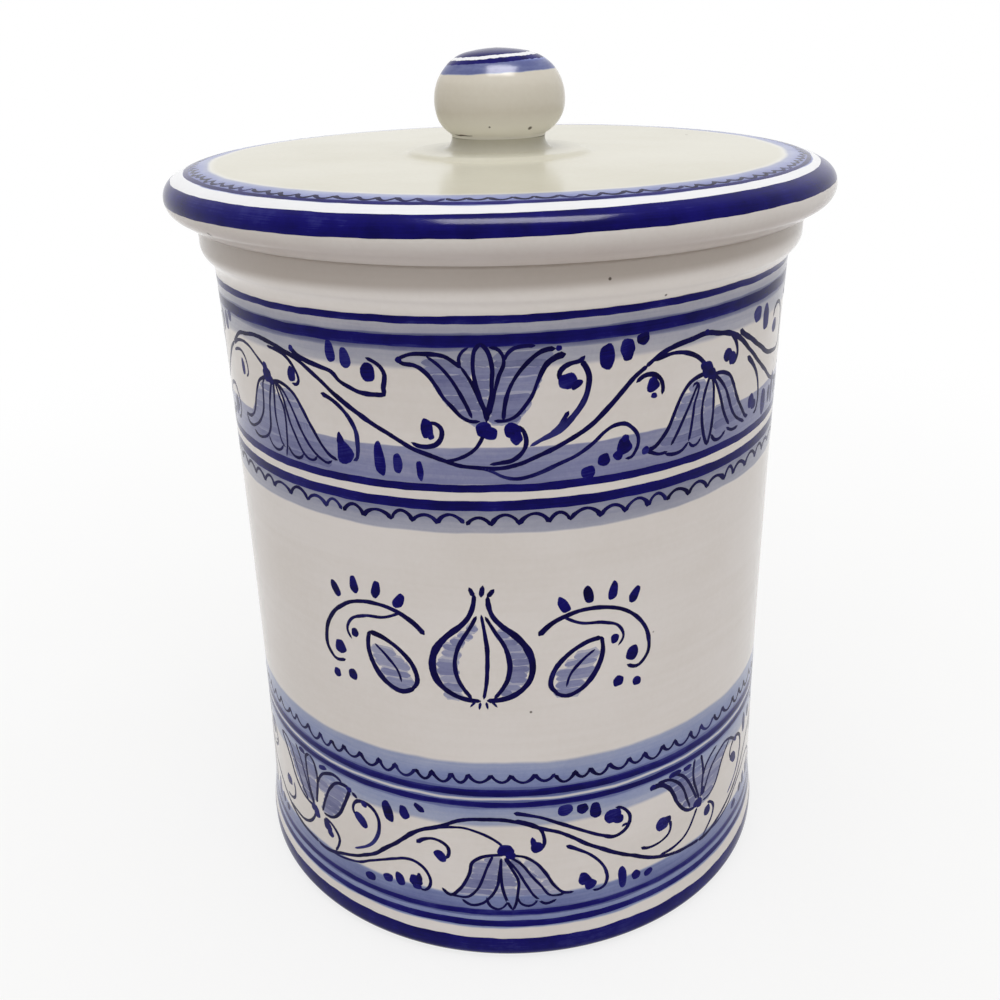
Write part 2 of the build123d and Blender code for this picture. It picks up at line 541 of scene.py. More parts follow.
def flowing(points, step):
    """An even line through given points.

    Between points it is a cubic whose end slopes are its neighbours' chord slopes, weighted by the
    other one's length; the whole is then walked in equal steps.
    """
    points = np.asarray(points, float)
    gap = np.hypot(*np.diff(points, axis=0).T)
    knots = np.r_[0, np.cumsum(gap)]
    chords = np.diff(points, axis=0) / gap[:, None]
    slopes = np.empty_like(points)
    before, after = gap[:-1, None], gap[1:, None]
    slopes[1:-1] = (chords[:-1] * after + chords[1:] * before) / (before + after)
    slopes[0] = 1.5 * chords[0] - 0.5 * slopes[1] if len(points) > 2 else chords[0]
    slopes[-1] = 1.5 * chords[-1] - 0.5 * slopes[-2] if len(points) > 2 else chords[-1]
    fine = np.linspace(0, knots[-1], max(8, int(knots[-1] / step * 6)))
    left = np.clip(np.searchsorted(knots, fine, side="right") - 1, 0, len(gap) - 1)
    t = ((fine - knots[left]) / gap[left])[:, None]
    width = gap[left][:, None]
    line = (
        (2 * t**3 - 3 * t**2 + 1) * points[left]
        + (t**3 - 2 * t**2 + t) * width * slopes[left]
        + (3 * t**2 - 2 * t**3) * points[left + 1]
        + (t**3 - t**2) * width * slopes[left + 1]
    )
    run = np.r_[0, np.cumsum(np.hypot(*np.diff(line, axis=0).T))]
    steps = max(4, int(round(run[-1] / step)))
    even = np.linspace(0, run[-1], steps + 1)
    return np.stack([np.interp(even, run, line[:, 0]), np.interp(even, run, line[:, 1])], axis=1), even


def stretched(values, places):
    """A number, or a short list of them spread evenly over 0 to 1, read at these places."""
    values = np.atleast_1d(values)
    return np.interp(places, np.linspace(0, 1, len(values)), values)


class Canvas:
    """A form's surface as flat paper: x runs round it in millimetres, y is the height or run on it."""

    def __init__(self, form, mm_per_degree, run_of):
        self.form = form
        self.mm_per_degree = mm_per_degree
        self.run_of = run_of

    def lay(self, x, y, lift):
        """Points and normals for flat places."""
        angle = x / self.mm_per_degree
        run = self.run_of(angle, y)
        return self.form.points(angle, run, lift), self.form.normals(angle, run)

    def stroke(self, pile, points, width, load=1.0, lift=LIFT_LINE, step=STROKE_STEP, blunt=0.5):
        """A brush line: a flat strip carried along a smooth path, rounded off at both ends.

        The half width at a point is width/2 times sqrt(1 - (1 - d/r)^2) within r of an end, d being
        the distance to it. Its long edges dip under the glaze, and its underside is closed.
        """
        path, run = flowing(points, step)
        length = run[-1]
        share = run / length
        half = stretched(width, share) / 2
        half = half * (1 + 0.13 * waver(run, 1.7) + 0.07 * waver(run, 0.6))
        reach = np.minimum(np.maximum(half, 0.2) * 2 * blunt, length / 2.2)
        near = np.clip(np.minimum(run, length - run) / reach, 0.02, 1)
        half = half * np.sqrt(1 - (1 - near) ** 2)
        path = path + 0.05 * np.stack([waver(run, 2.3), waver(run, 2.1)], axis=1)
        ahead = np.gradient(path, run, axis=0)
        ahead /= np.maximum(np.hypot(*ahead.T), 1e-9)[:, None]
        left = np.stack([-ahead[:, 1], ahead[:, 0]], axis=1)
        across = path[:, None, :] + (half[:, None] * SIDES)[..., None] * left[:, None, :]
        rise = np.where(RISES > 0, lift, RISES) + 0 * half[:, None]
        spots, normals = self.lay(across[..., 0], across[..., 1], rise)
        marks = np.stack([run[:, None] + 0 * rise, half[:, None] * SIDES], axis=-1)
        marks[..., 0] += random.uniform(0, 400)
        loads = (stretched(load, share) * (1 + 0.08 * waver(run, 3.0)))[:, None] + 0 * rise
        pile.grid(spots, normals, marks, loads, columns_close=True, capped=True)

    def dab(self, pile, middle, size, turn=0.0, point=0.0, load=1.0, square=2.3, lift=LIFT_DAB):
        """One press of the brush: rings about a middle, out to a ragged rounded outline.

        The outline is a superellipse, narrowed towards its top by point, turned, and made ragged by
        three waves.
        """
        rises = np.array([lift, lift, lift, -SINK, UNDERSIDE])
        around = np.arange(DAB_STEPS) / DAB_STEPS * 2 * np.pi
        waves = 0
        for lobes in (2, 3, 5):
            waves = waves + random.uniform(0.02, 0.055) * np.cos(lobes * around + random.uniform(0, 6.3))
        edge = 1 + waves
        cos, sin = np.cos(around), np.sin(around)
        x = np.sign(cos) * np.abs(cos) ** (2 / square) * size[0] / 2 * edge
        y = np.sign(sin) * np.abs(sin) ** (2 / square) * size[1] / 2 * edge
        x = x * (1 - point * y / (size[1] / 2))
        flat_x, flat_y = DAB_RINGS[:, None] * x, DAB_RINGS[:, None] * y
        c, s = math.cos(math.radians(turn)), math.sin(math.radians(turn))
        place_x = middle[0] + c * flat_x - s * flat_y
        place_y = middle[1] + s * flat_x + c * flat_y
        rise = rises[:, None] + 0 * place_x
        spots, normals = self.lay(place_x, place_y, rise)
        marks = np.stack([flat_x + random.uniform(0, 300), flat_y], axis=-1)
        loads = load * DAB_LOADS[:, None] + 0 * rise
        inner = pile.count + np.arange(DAB_STEPS)
        under = inner + (len(DAB_RINGS) - 1) * DAB_STEPS
        pile.grid(spots, normals, marks, loads, columns_close=True)
        for ring, height, turned in ((inner, lift, False), (under, UNDERSIDE, True)):
            hub, normal = self.lay(np.array([middle[0]]), np.array([middle[1]]), height)
            pile.fan(hub, normal, marks[:1, 0], [load], ring, turned)

    def stripe(self, pile, low, high, load, lift=LIFT_STRIPE, ragged=0.07):
        """A stripe drawn round the turning pot, between two heights that wander a little.

        Across it the load of paint follows the given numbers from its low edge to its high edge.
        """
        angle = np.arange(STRIPE_STEPS) / STRIPE_STEPS * WHOLE_TURN
        tall = high - low
        inner = np.linspace(0.06, tall - 0.06, max(4, math.ceil(tall / 0.28))) / tall
        share = np.r_[0, inner, 1, inner[::-1]]
        rises = np.r_[-SINK, lift + 0 * inner, -SINK, UNDERSIDE + 0 * inner]
        bottom = low + ragged * round_waver(angle)
        top = high + ragged * round_waver(angle)
        y = bottom[:, None] + (top - bottom)[:, None] * share
        x = (angle * self.mm_per_degree)[:, None] + 0 * y
        rise = rises + 0 * y
        spots, normals = self.lay(x, y, rise)
        marks = np.stack([x, y], axis=-1)
        loads = stretched(load, share) * (1 + 0.10 * round_waver(angle, 6))[:, None]
        pile.grid(spots, normals, marks, loads, rows_close=True, columns_close=True)


random = np.random.default_rng(BRUSH_SEED)


def waver(run, wave):
    """Smooth chance numbers about zero, with a new value every wave millimetres."""
    knots = np.arange(0, run[-1] + 3 * wave, wave)
    values = random.uniform(-1, 1, len(knots))
    place = run / wave
    left = place.astype(int)
    t = place - left
    t = t * t * (3 - 2 * t)
    return values[left] * (1 - t) + values[left + 1] * t


def round_waver(angle, count=14):
    """Smooth chance numbers about zero that close up after a whole turn: waves with falling heights."""
    turns = np.arange(1, count + 1) * np.where(np.arange(count) % 3 == 2, 9, 3)
    phases = random.uniform(0, 2 * np.pi, count)
    heights = 1.0 / np.sqrt(np.arange(1, count + 1))
    waves = heights * np.cos(np.radians(angle)[:, None] * turns + phases)
    return waves.sum(axis=1) / np.sqrt((heights**2).sum())


# ---------------------------------------------------------------- forms and canvases

jar_form = Turned(JAR_PROFILE, jar_sway)
lid_form = Turned(LID_PROFILE, lid_sway)
knob_form = Turned(KNOB_PROFILE, knob_sway)

# How steeply the jar's bands climb to the right, by height.
SLANT_HEIGHTS = (8.0, 37.0, 97.0, 128.0)
SLANTS = tuple(math.tan(math.radians(a)) for a in (0.35, 0.10, 0.95, 1.05))
WALL_RADIUS = 54.5
KNOB_LEAN = 0.36

# Where each painted stretch of a profile lies: by radius, by height, or by run where the lid is widest.
WALL_BEYOND = 53.0
WALL_LOW, WALL_HIGH = 2.5, 136.3
FOOT_END = 56.4
KNOB_LOW = 149.7
LID_EDGE = float(lid_form.run[np.argmax(lid_form.radius)])

# How much of each canvas goes to one degree.
JAR_MM_PER_DEGREE = 0.951
FOOT_MM_PER_DEGREE = 0.98
LID_MM_PER_DEGREE = 0.98
KNOB_MM_PER_DEGREE = 0.2


def jar_run(angle, height):
    """The wall's run at a painted height: the bands were drawn a little higher on the right."""
    slant = np.interp(height, SLANT_HEIGHTS, SLANTS)
    height = height + slant * WALL_RADIUS * np.sin(np.radians(angle))
    between = (jar_form.height > WALL_LOW) & (jar_form.height < WALL_HIGH)
    side = np.flatnonzero((jar_form.radius > WALL_BEYOND) & between)
    return jar_form.run_at(height, jar_form.height, side[0], side[-1] + 1)


def foot_run(angle, run):
    """The foot stripe is measured along the profile from where the foot round leaves the ground.

    It is the same at every angle.
    """
    end = np.flatnonzero(jar_form.radius >= FOOT_END)[0]
    return jar_form.run_at(FOOT_START, jar_form.radius, 0, end) + run


def lid_run(angle, run):
    """Painted rings on the lid are measured inwards over the rim from its widest line.

    They sit further in on the right, more so near the edge.
    """
    slant = np.interp(run, [0.0, 4.0, 6.5, 9.0], [0.8, 1.0, 0.5, 0.3])
    return LID_EDGE + run + slant * np.sin(np.radians(angle))


def lid_speck_run(angle, run):
    """Specks on the lid are measured from its widest line too, with no slant at any angle."""
    return LID_EDGE + run


def knob_run(angle, height):
    """The knob's rings lean up to the right."""
    height = height + KNOB_LEAN * np.sin(np.radians(angle))
    side = np.flatnonzero(knob_form.height > KNOB_LOW)
    return knob_form.run_at(height, knob_form.height, side[0], side[-1] + 1)


wall = Canvas(jar_form, JAR_MM_PER_DEGREE, jar_run)
foot = Canvas(jar_form, FOOT_MM_PER_DEGREE, foot_run)
lid_top = Canvas(lid_form, LID_MM_PER_DEGREE, lid_run)
knob_side = Canvas(knob_form, KNOB_MM_PER_DEGREE, knob_run)


# ---------------------------------------------------------------- glaze


def painted_height(finish, spot):
    """The height that a point on the wall would have if the bands had been drawn level."""
    x, _, z = finish.parts(spot)
    slant = z.slope(SLANT_HEIGHTS[0], SLANT_HEIGHTS[1], SLANTS[0], SLANTS[1])
    slant = slant + z.slope(SLANT_HEIGHTS[1], SLANT_HEIGHTS[2], 0.0, SLANTS[2] - SLANTS[1])
    slant = slant + z.slope(SLANT_HEIGHTS[2], SLANT_HEIGHTS[3], 0.0, SLANTS[3] - SLANTS[2])
    return z - slant * x


def band(height, low, high, soft_low, soft_high):
    """One between two heights and none outside them, with a soft edge at each."""
    above = height.rise(low - soft_low, low + soft_low)
    beyond = height.rise(high - soft_high, high + soft_high)
    return above * (1.0 - beyond)


# Each wash: low and high edge, softness of each, and density at the low and the high edge.
JAR_WASHES = (
    (125.8, 127.9, 0.2, 0.2, 0.52, 0.34),
    (125.5, 126.3, 0.2, 0.35, 1.60, 0.90),
    (120.6, 124.4, 0.45, 0.2, 0.36, 0.50),
    (123.1, 124.6, 0.50, 0.2, 0.45, 1.80),
    (101.0, 107.4, 0.2, 0.16, 0.78, 0.66),
    (92.4, 97.0, 0.22, 0.2, 0.44, 0.72),
    (40.0, 46.2, 0.2, 0.42, 0.80, 0.46),
    (38.4, 41.0, 0.3, 0.4, 1.30, 1.00),
    (31.9, 36.6, 0.5, 0.2, 0.40, 0.60),
    (35.6, 37.8, 0.4, 0.2, 0.90, 1.30),
    (11.6, 15.4, 0.2, 0.45, 0.98, 0.80),
    (10.4, 12.5, 0.3, 0.4, 1.40, 1.10),
    (7.8, 11.0, 0.3, 0.3, 0.80, 0.62),
    (37.2, 39.0, 0.2, 0.2, 0.16, 0.16),
)

# Each band: low and high edge, and the softness of each. The lid's is measured out from the axis.
# The collar band holds painted shade under the lid, and the cove band painted light below it.
COLLAR_SHADE_BAND = (133.3, 137.4, 0.9, 0.5)
COVE_LIGHT_BAND = (129.2, 132.6, 0.5, 1.0)
LID_WASH_BAND = (53.2, 57.6, 0.50, 0.2)
KNOB_WASH_BAND = (160.6, 162.5, 0.16, 0.2)
UNTINTED_BAND = (99.0, 110.0, 1.0, 3.0)

# The lid's wash thickens outwards: from, to, and density at each.
LID_WASH_DENSITY = (53.2, 57.2, 0.52, 1.05)

# The tint of the lower washes gives way to that of the upper ones between these heights.
TINTS_MEET = (60.0, 80.0)

# The wiped rings of bare clay: from a radius outwards, and below a height, each with a soft step.
FOOT_BARE = ((49.0, 49.6), (0.25, 0.55))
RING_BARE = ((43.5, 44.5), (130.7, 131.2))

# WASH_STOPS run from a density of none to a density of two.
WASH_SCALE = 0.5
RELIEF_DEPTH = 0.10
KNOB_RELIEF_DEPTH = 0.08


def brush_grain(finish, spot, x_y=0.05, rise=1.7):
    """How thick a wash lies: streaks round the pot from the turning wheel, clouds, and settled grains."""
    streaks = finish.noise(spot, (x_y, x_y, rise), 3.0, 0.6)
    clouds = finish.noise(spot, (0.09, 0.09, 0.22), 2.0)
    grains = finish.noise(spot, (1.5, 1.5, 1.5), 2.0, 0.65)
    return 0.36 + 0.44 * streaks + 0.46 * clouds + 0.20 * grains


def glaze_colour(finish, spot, pale, deep):
    """Tin-white glaze: slow clouds and faint rings from the wheel, between two whites."""
    clouds = finish.noise(spot, (0.035, 0.035, 0.05), 3.0)
    rings = finish.noise(spot, (0.02, 0.02, 0.75), 2.0, 0.6)
    grains = finish.noise(spot, (1.1, 1.1, 1.1), 2.0)
    share = (clouds * 0.9 + rings * 0.35 + grains * 0.25 - 0.32).rise(0.15, 0.75)
    return finish.mixed(share, pale, deep)


def washed(finish, glaze, density):
    """The glaze seen through thinned cobalt of this density."""
    return finish.mixed(1.0, glaze, finish.ramp(density * WASH_SCALE, WASH_STOPS), "MULTIPLY")


def specked(finish, spot, colour, marks):
    """Iron specks: small brown points at set places, and a rare faint one anywhere."""
    amount = None
    for place, size in marks:
        far = finish.vector("DISTANCE", spot, {1: place}, out=1)
        near = far.rise(size * 0.45, size, 0.85, 0.0)
        amount = near if amount is None else amount.highest(near)
    cells = finish.node("ShaderNodeTexVoronoi", {}, {"Vector": spot, "Scale": 1 / 13.0})
    chosen = finish.parts(cells[1])[0].rise(0.80, 0.90)
    small = cells[0].rise(0.010, 0.020, 0.55, 0.0) * chosen
    return finish.mixed(amount.highest(small), colour, SPECK_BROWN)


def glaze_relief(finish, spot):
    """The glaze's skin: a slow ripple, the wheel's rings showing through, and a fine orange peel."""
    ripple = finish.noise(spot, (0.05, 0.05, 0.07), 1.0)
    rings = finish.noise(spot, (0.02, 0.02, 0.42), 2.0)
    peel = finish.noise(spot, (0.55, 0.55, 0.55), 1.0)
    return ripple * 0.6 + rings * 0.25 + peel * 0.05


def glazed(finish, spot, colour, roughness, sheen, depth=RELIEF_DEPTH):
    """Ends the material of a glaze, or of paint under it, with the glaze's skin."""
    return finish.done(colour, roughness, glaze_relief(finish, spot), depth, ior=GLAZE_IOR, sheen=sheen)


def spot_on(form, run_of, angle, value):
    """Where a mark sits, in millimetres."""
    found = form.points(np.array(float(angle)), run_of(angle, value)) / MM
    return tuple(float(c) for c in found)


JAR_SPECKS = (
    (spot_on(jar_form, jar_run, 16.4, 133.74), 0.34),
    (spot_on(jar_form, jar_run, 27.3, 129.6), 0.30),
    (spot_on(jar_form, jar_run, 3.8, 57.1), 0.32),
    (spot_on(jar_form, jar_run, -118.0, 71.0), 0.40),
    (spot_on(jar_form, jar_run, 142.0, 54.0), 0.34),
)


def jar_ground(finish, spot):
    """The jar's glaze, with painted shade on the collar and painted light in the cove, and the washes'
    thickness on it.
    """
    height = painted_height(finish, spot)
    wander = finish.noise(spot, (0.10, 0.10, 0.02), 2.0)
    level = height + (wander - 0.5) * 0.9
    density = None
    for low, high, soft_low, soft_high, thin, thick in JAR_WASHES:
        here = band(level, low, high, soft_low, soft_high) * level.slope(low, high, thin, thick)
        density = here if density is None else density.highest(here)
    density = density * brush_grain(finish, spot)
    glaze = glaze_colour(finish, spot, GLAZE_JAR, GLAZE_JAR_DEEP)
    # Painted shade on the collar under the lid, and painted light in the cove below it.
    collar = band(height, *COLLAR_SHADE_BAND)
    glaze = finish.mixed(collar, glaze, COLLAR_PAINTED_SHADE, "MULTIPLY")
    cove = band(height, *COVE_LIGHT_BAND)
    glaze = finish.mixed(cove, glaze, COVE_PAINTED_LIGHT, "MULTIPLY")
    covered = density.rise(0.1, 0.6)
    lower = height.rise(*TINTS_MEET, 1.0, 0.0)
    upper = (1.0 - lower) * (1.0 - band(height, *UNTINTED_BAND))
    glaze = finish.mixed(covered * lower, glaze, LOW_WASH_TINT, "MULTIPLY")
    return finish.mixed(covered * upper, glaze, HIGH_WASH_TINT, "MULTIPLY"), density


def bare_ring(height, reach, outwards, below):
    """One on the clay that a ring stands on and none elsewhere."""
    return (1.0 - height.rise(*below)) * reach.rise(*outwards)


def jar_glaze():
    """White glaze with the jar's soft blue bands; the foot ring stands on bare clay."""
    finish = material("jar_glaze")
    spot = finish.place()
    glaze, density = jar_ground(finish, spot)
    reach = finish.from_axis(spot)
    density = density * reach.rise(51.5, 52.5)
    colour = specked(finish, spot, washed(finish, glaze, density), JAR_SPECKS)
    bare = bare_ring(finish.parts(spot)[2], reach, *FOOT_BARE)
    colour = finish.mixed(bare, colour, BARE_CLAY)
    roughness = 0.13 + bare * 0.6 + density * 0.04
    return glazed(finish, spot, colour, roughness, JAR_SHEEN)


LID_SPECKS = (
    (spot_on(lid_form, lid_speck_run, -49.1, -2.6), 0.62),
    (spot_on(lid_form, lid_speck_run, 120.0, 19.0), 0.40),
)


def lid_glaze():
    """White glaze, creamier on the flat, whitest round the rim, a soft blue ring, and a wiped ring below."""
    finish = material("lid_glaze")
    spot = finish.place()
    x, _, z = finish.parts(spot)
    reach = finish.from_axis(spot)
    shift = reach + x * 0.008
    wander = (finish.noise(spot, (0.08, 0.08, 0.02), 2.0) - 0.5) * 1.2
    level = shift + wander
    wash = band(level, *LID_WASH_BAND) * level.slope(*LID_WASH_DENSITY)
    wash = wash * z.rise(144.6, 145.0) * brush_grain(finish, spot, 0.12, 0.3)
    cream = z.rise(145.2, 146.2)
    # Partly painted light: the rim's glaze is whiter than the rest, standing in for the light its curve
    # catches.
    rim = level.rise(51.6, 54.8) * z.rise(143.0, 144.6)
    pale = finish.mixed(rim, finish.mixed(cream, GLAZE_ROLL, GLAZE_LID), GLAZE_RIM)
    deep = finish.mixed(rim, finish.mixed(cream, GLAZE_ROLL_DEEP, GLAZE_LID_DEEP), GLAZE_RIM_DEEP)
    glaze = glaze_colour(finish, spot, pale, deep)
    # Painted shade: the glaze is darkened below the lid's widest line, on the roll's underside.
    glaze = finish.mixed(z.rise(139.0, 141.4, 1.0, 0.0), glaze, ROLL_UNDER_PAINTED_SHADE, "MULTIPLY")
    colour = specked(finish, spot, washed(finish, glaze, wash), LID_SPECKS)
    bare = bare_ring(z, reach, *RING_BARE)
    colour = finish.mixed(bare, colour, BARE_CLAY)
    flat = z.rise(145.0, 146.0)
    roughness = 0.13 + bare * 0.6 + flat * 0.06 + wash * 0.04
    return glazed(finish, spot, colour, roughness, LID_SHEEN)


KNOB_SPECKS = (
    (spot_on(knob_form, knob_run, 31.5, 151.1), 0.52),
    (spot_on(knob_form, knob_run, -8.0, 151.8), 0.26),
    (spot_on(knob_form, knob_run, 150.0, 153.0), 0.30),
)


def knob_glaze():
    """White glaze with the soft blue band under the knob's dark ring."""
    finish = material("knob_glaze")
    spot = finish.place()
    x, _, z = finish.parts(spot)
    level = z - x * 0.03 + (finish.noise(spot, (0.3, 0.3, 0.1), 2.0) - 0.5) * 0.35
    wash = band(level, *KNOB_WASH_BAND) * brush_grain(finish, spot, 0.2, 1.7) * 0.95
    glaze = glaze_colour(finish, spot, GLAZE_KNOB, GLAZE_KNOB_DEEP)
    # Painted light: the knob's lower part and its neck are painted paler.
    glaze = finish.mixed(z.rise(150.4, 155.0, 1.0, 0.0), glaze, KNOB_FOOT_PAINTED_LIGHT)
    glaze = finish.mixed(z.rise(162.2, 162.8), glaze, GLAZE_RIM)
    glaze = finish.mixed(wash.rise(0.1, 0.6), glaze, KNOB_WASH_TINT, "MULTIPLY")
    colour = specked(finish, spot, washed(finish, glaze, wash), KNOB_SPECKS)
    return glazed(finish, spot, colour, 0.15 + wash * 0.04, KNOB_SHEEN, KNOB_RELIEF_DEPTH)


def brushed(finish):
    """A painted piece's two map numbers, along and across the stroke, and its load of paint."""
    brush = finish.node("ShaderNodeUVMap", {"uv_map": "brush"})[0]
    load = finish.node("ShaderNodeAttribute", {"attribute_name": "load"})[2]
    return brush, load


def cobalt(name, deep, full, streak, sheen):
    """Brushed cobalt: thin where the load is low, streaked along the stroke, dark where it pooled."""
    finish = material(name)
    spot = finish.place()
    brush, load = brushed(finish)
    streaks = finish.noise(brush, (0.16, 3.4, 1.0), 3.0, 0.6)
    pools = finish.noise(spot, (0.32, 0.32, 0.32), 2.0)
    grains = finish.noise(spot, (2.0, 2.0, 2.0), 2.0)
    thick = load * (1.06 - streak + streaks * streak + (pools - 0.5) * 0.5 + (grains - 0.5) * 0.12)
    colour = finish.ramp(thick, ((0.0, COBALT_THIN), (1.0, deep), (0.35, COBALT_HALF), (0.72, full)))
    return glazed(finish, spot, colour, 0.12 + pools * 0.06, sheen)


def petal_wash():
    """Thinned cobalt inside the flowers: the jar's own ground, darkened by each stroke's load."""
    finish = material("petal_wash")
    spot = finish.place()
    glaze, density = jar_ground(finish, spot)
    brush, load = brushed(finish)
    streaks = finish.noise(brush, (0.22, 2.6, 1.0), 3.0, 0.6)
    grains = finish.noise(spot, (1.5, 1.5, 1.5), 2.0, 0.65)
    density = density.highest(load * (0.62 + streaks * 0.5 + grains * 0.22))
    return glazed(finish, spot, washed(finish, glaze, density), 0.13 + density * 0.04, JAR_SHEEN)


# ---------------------------------------------------------------- the three pots' bodies

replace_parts(turned_piece(jar_form, "jar_body", "jar", "jar_glaze", jar_glaze()), "jar")
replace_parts(turned_piece(lid_form, "lid_body", "lid", "lid_glaze", lid_glaze()), "lid")
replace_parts(turned_piece(knob_form, "knob_body", "lid", "knob_glaze", knob_glaze()), "knob")

stripe_blue = cobalt("cobalt_stripe", COBALT_DEEP, COBALT_FULL, streak=0.45, sheen=0.09)
line_blue = cobalt("cobalt_line", INK_DEEP, INK_FULL, streak=0.40, sheen=0.06)
dab_blue = cobalt("cobalt_dab", INK_DEEP, COBALT_FULL, streak=0.50, sheen=0.07)
petal_blue = petal_wash()


# ---------------------------------------------------------------- stripes

# Each stripe: its low and high edge on its canvas, and its load of paint from low to high.
JAR_STRIPES = (
    (127.65, 128.95, (0.72, 0.9, 0.98, 0.95)),
    (124.00, 125.95, (0.75, 0.98, 1.08, 1.08, 1.0)),
    (99.75, 101.25, (0.9, 1.0, 0.95)),
    (96.45, 98.35, (0.9, 1.05, 1.05, 0.9)),
    (38.75, 40.35, (0.95, 1.05, 0.9, 0.62)),
    (36.15, 37.45, (0.7, 1.02, 1.0, 0.85)),
    (10.75, 12.0, (0.75, 0.92, 0.85, 0.7)),
    (8.1, 9.55, (0.85, 0.95, 0.75)),
)
FOOT_STRIPE = (0.35, 7.0, (0.95, 0.95, 0.9, 0.95))
LID_ROLL_STRIPE = (0.25, 4.30, (1.0, 1.05, 0.95, 0.9, 0.98))
LID_THIN_STRIPE = (6.45, 7.45, (0.95, 1.0, 0.9))
KNOB_RING = (162.24, 163.01, (0.9, 1.0, 0.95))
KNOB_CAP_EDGE = 163.42


def jar_stripes():
    """The dark stripes that fence each flower band."""
    pile = Pile()
    for stripe in JAR_STRIPES:
        wall.stripe(pile, *stripe)
    pile.piece("jar_stripes", "jar", "jar_glaze", stripe_blue)


def foot_stripe():
    """The broad stripe round the foot, drawn down over the edge that the pot stands on."""
    pile = Pile()
    foot.stripe(pile, *FOOT_STRIPE, ragged=0.12)
    pile.piece("foot_stripe", "jar", "jar_glaze", stripe_blue)


def lid_stripes():
    """The broad blue roll round the lid's edge and the thin line inside it."""
    pile = Pile()
    lid_top.stripe(pile, *LID_ROLL_STRIPE, ragged=0.06)
    lid_top.stripe(pile, *LID_THIN_STRIPE, ragged=0.06)
    pile.piece("lid_stripes", "lid", "lid_glaze", stripe_blue)


def knob_cap(pile):
    """The crown's blue spot: two nested skins from a ragged edge up to the top, the inner one sunk."""
    angle = np.arange(TURN_STEPS) / TURN_STEPS * WHOLE_TURN
    edge = knob_run(angle, KNOB_CAP_EDGE + 0.04 * round_waver(angle))
    reach = knob_form.run[-1] - edge
    share = np.r_[0, np.linspace(0.012, 0.98, 26)]
    for skin_lift, flip in ((LIFT_STRIPE, False), (-2 * SINK, True)):
        run = edge[:, None] + reach[:, None] * share
        turn = angle[:, None] + 0 * run
        rise = np.where(share == 0, -SINK, skin_lift) + 0 * run
        spots, normals = knob_form.points(turn, run, rise), knob_form.normals(turn, run)
        marks = np.stack([turn * 0.1, run], axis=-1)
        turned = slice(None, None, -1) if flip else slice(None)
        first = pile.count
        pile.grid(spots[turned], normals[turned], marks[turned], 1.0 + 0 * run, rows_close=True)
        rim = first + np.arange(TURN_STEPS) * len(share) + len(share) - 1
        top = knob_form.run[-1:]
        pole, normal = knob_form.points(np.zeros(1), top, skin_lift), knob_form.normals(np.zeros(1), top)
        pile.fan(pole, normal, [[0, 0]], [1.0], rim)


def knob_rings():
    """The knob's dark ring, and its dark crown spot drawn as a disc that closes at the top."""
    pile = Pile()
    knob_side.stripe(pile, *KNOB_RING, ragged=0.05)
    knob_cap(pile)
    pile.piece("knob_rings", "lid", "knob_glaze", stripe_blue)


jar_stripes()
foot_stripe()
lid_stripes()
knob_rings()


# ---------------------------------------------------------------- scallops


def scallops(canvas, pile, count, base, depth, width, load=0.95):
    """A row of little arches drawn freehand right round, in runs of a few with a breath between.

    Each arch is depth times |sin| to a power a little under one, leaning by chance; depth below
    zero turns the arches over. A run starts with a heavier touch of the brush.
    """
    half = WHOLE_TURN / 2 * canvas.mm_per_degree
    edges = np.linspace(-half, half, count + 1)
    edges = edges + np.r_[0, random.uniform(-0.18, 0.18, count - 1), 0] * 2 * half / count
    first = 0
    while first < count:
        last = min(count, first + int(random.integers(5, 11)))
        t = np.arange((last - first) * 8 + 1) / 8
        arch = np.minimum(t.astype(int), last - first - 1)
        within = t - arch
        tall = random.uniform(0.78, 1.18, last - first)[arch]
        lean = random.uniform(-0.16, 0.16, last - first)[arch]
        x = np.interp(first + t, np.arange(count + 1), edges)
        skewed = np.clip(within + lean * within * (1 - within), 0, 1)
        y = base + depth * tall * np.abs(np.sin(np.pi * skewed)) ** 0.8
        y = y + random.uniform(-0.25, 0.25) + 0.18 * waver(x - x[0], 9.0)
        gap = random.uniform(0.0, 0.5)
        x = x + np.linspace(0, -gap, len(x))
        thick = 0.84 + 0.5 * (1 - np.abs(np.sin(np.pi * within))) ** 2
        run_width = width * thick * np.r_[1.25, np.ones(len(t) - 1)]
        canvas.stroke(pile, np.stack([x, y], axis=1), run_width, load=(1.1, load, load, 0.75), step=0.42)
        first = last


def border_scallops():
    """One row under the upper band and one over the lower band, their points towards the plain field."""
    pile = Pile()
    scallops(wall, pile, count=77, base=94.25, depth=1.5, width=0.84)
    scallops(wall, pile, count=92, base=43.2, depth=-1.75, width=0.80)
    pile.piece("jar_scallops", "jar", "jar_glaze", line_blue)


def lid_scallops():
    """The row inside the lid's thin line, its points towards the knob."""
    pile = Pile()
    scallops(lid_top, pile, count=105, base=8.72, depth=-1.05, width=0.84, load=1.1)
    pile.piece("lid_scallops", "lid", "lid_glaze", line_blue)


border_scallops()
lid_scallops()


# ---------------------------------------------------------------- the flower bands

# Stretches of the two bands: the angle where each one starts, and its span.
UPPER_STRETCHES = ((-62.0, 86.5), (24.5, 91.2), (115.7, 91.1), (206.8, 91.2))
LOWER_STRETCHES = ((-46.7, 90.0), (43.3, 90.0), (133.3, 90.0), (223.3, 90.0))
LOWER_LEFT_STRETCH = (-136.7, 90.0)

# A group of strokes is drawn at its home stretch of the band and repeated at others. Strokes are
# (widths, load, points), dabs are (angle, height, width, tall, turn, point), and the thin fills
# are (left edge, right edge, highest, lowest, load). Points are (angle, height).

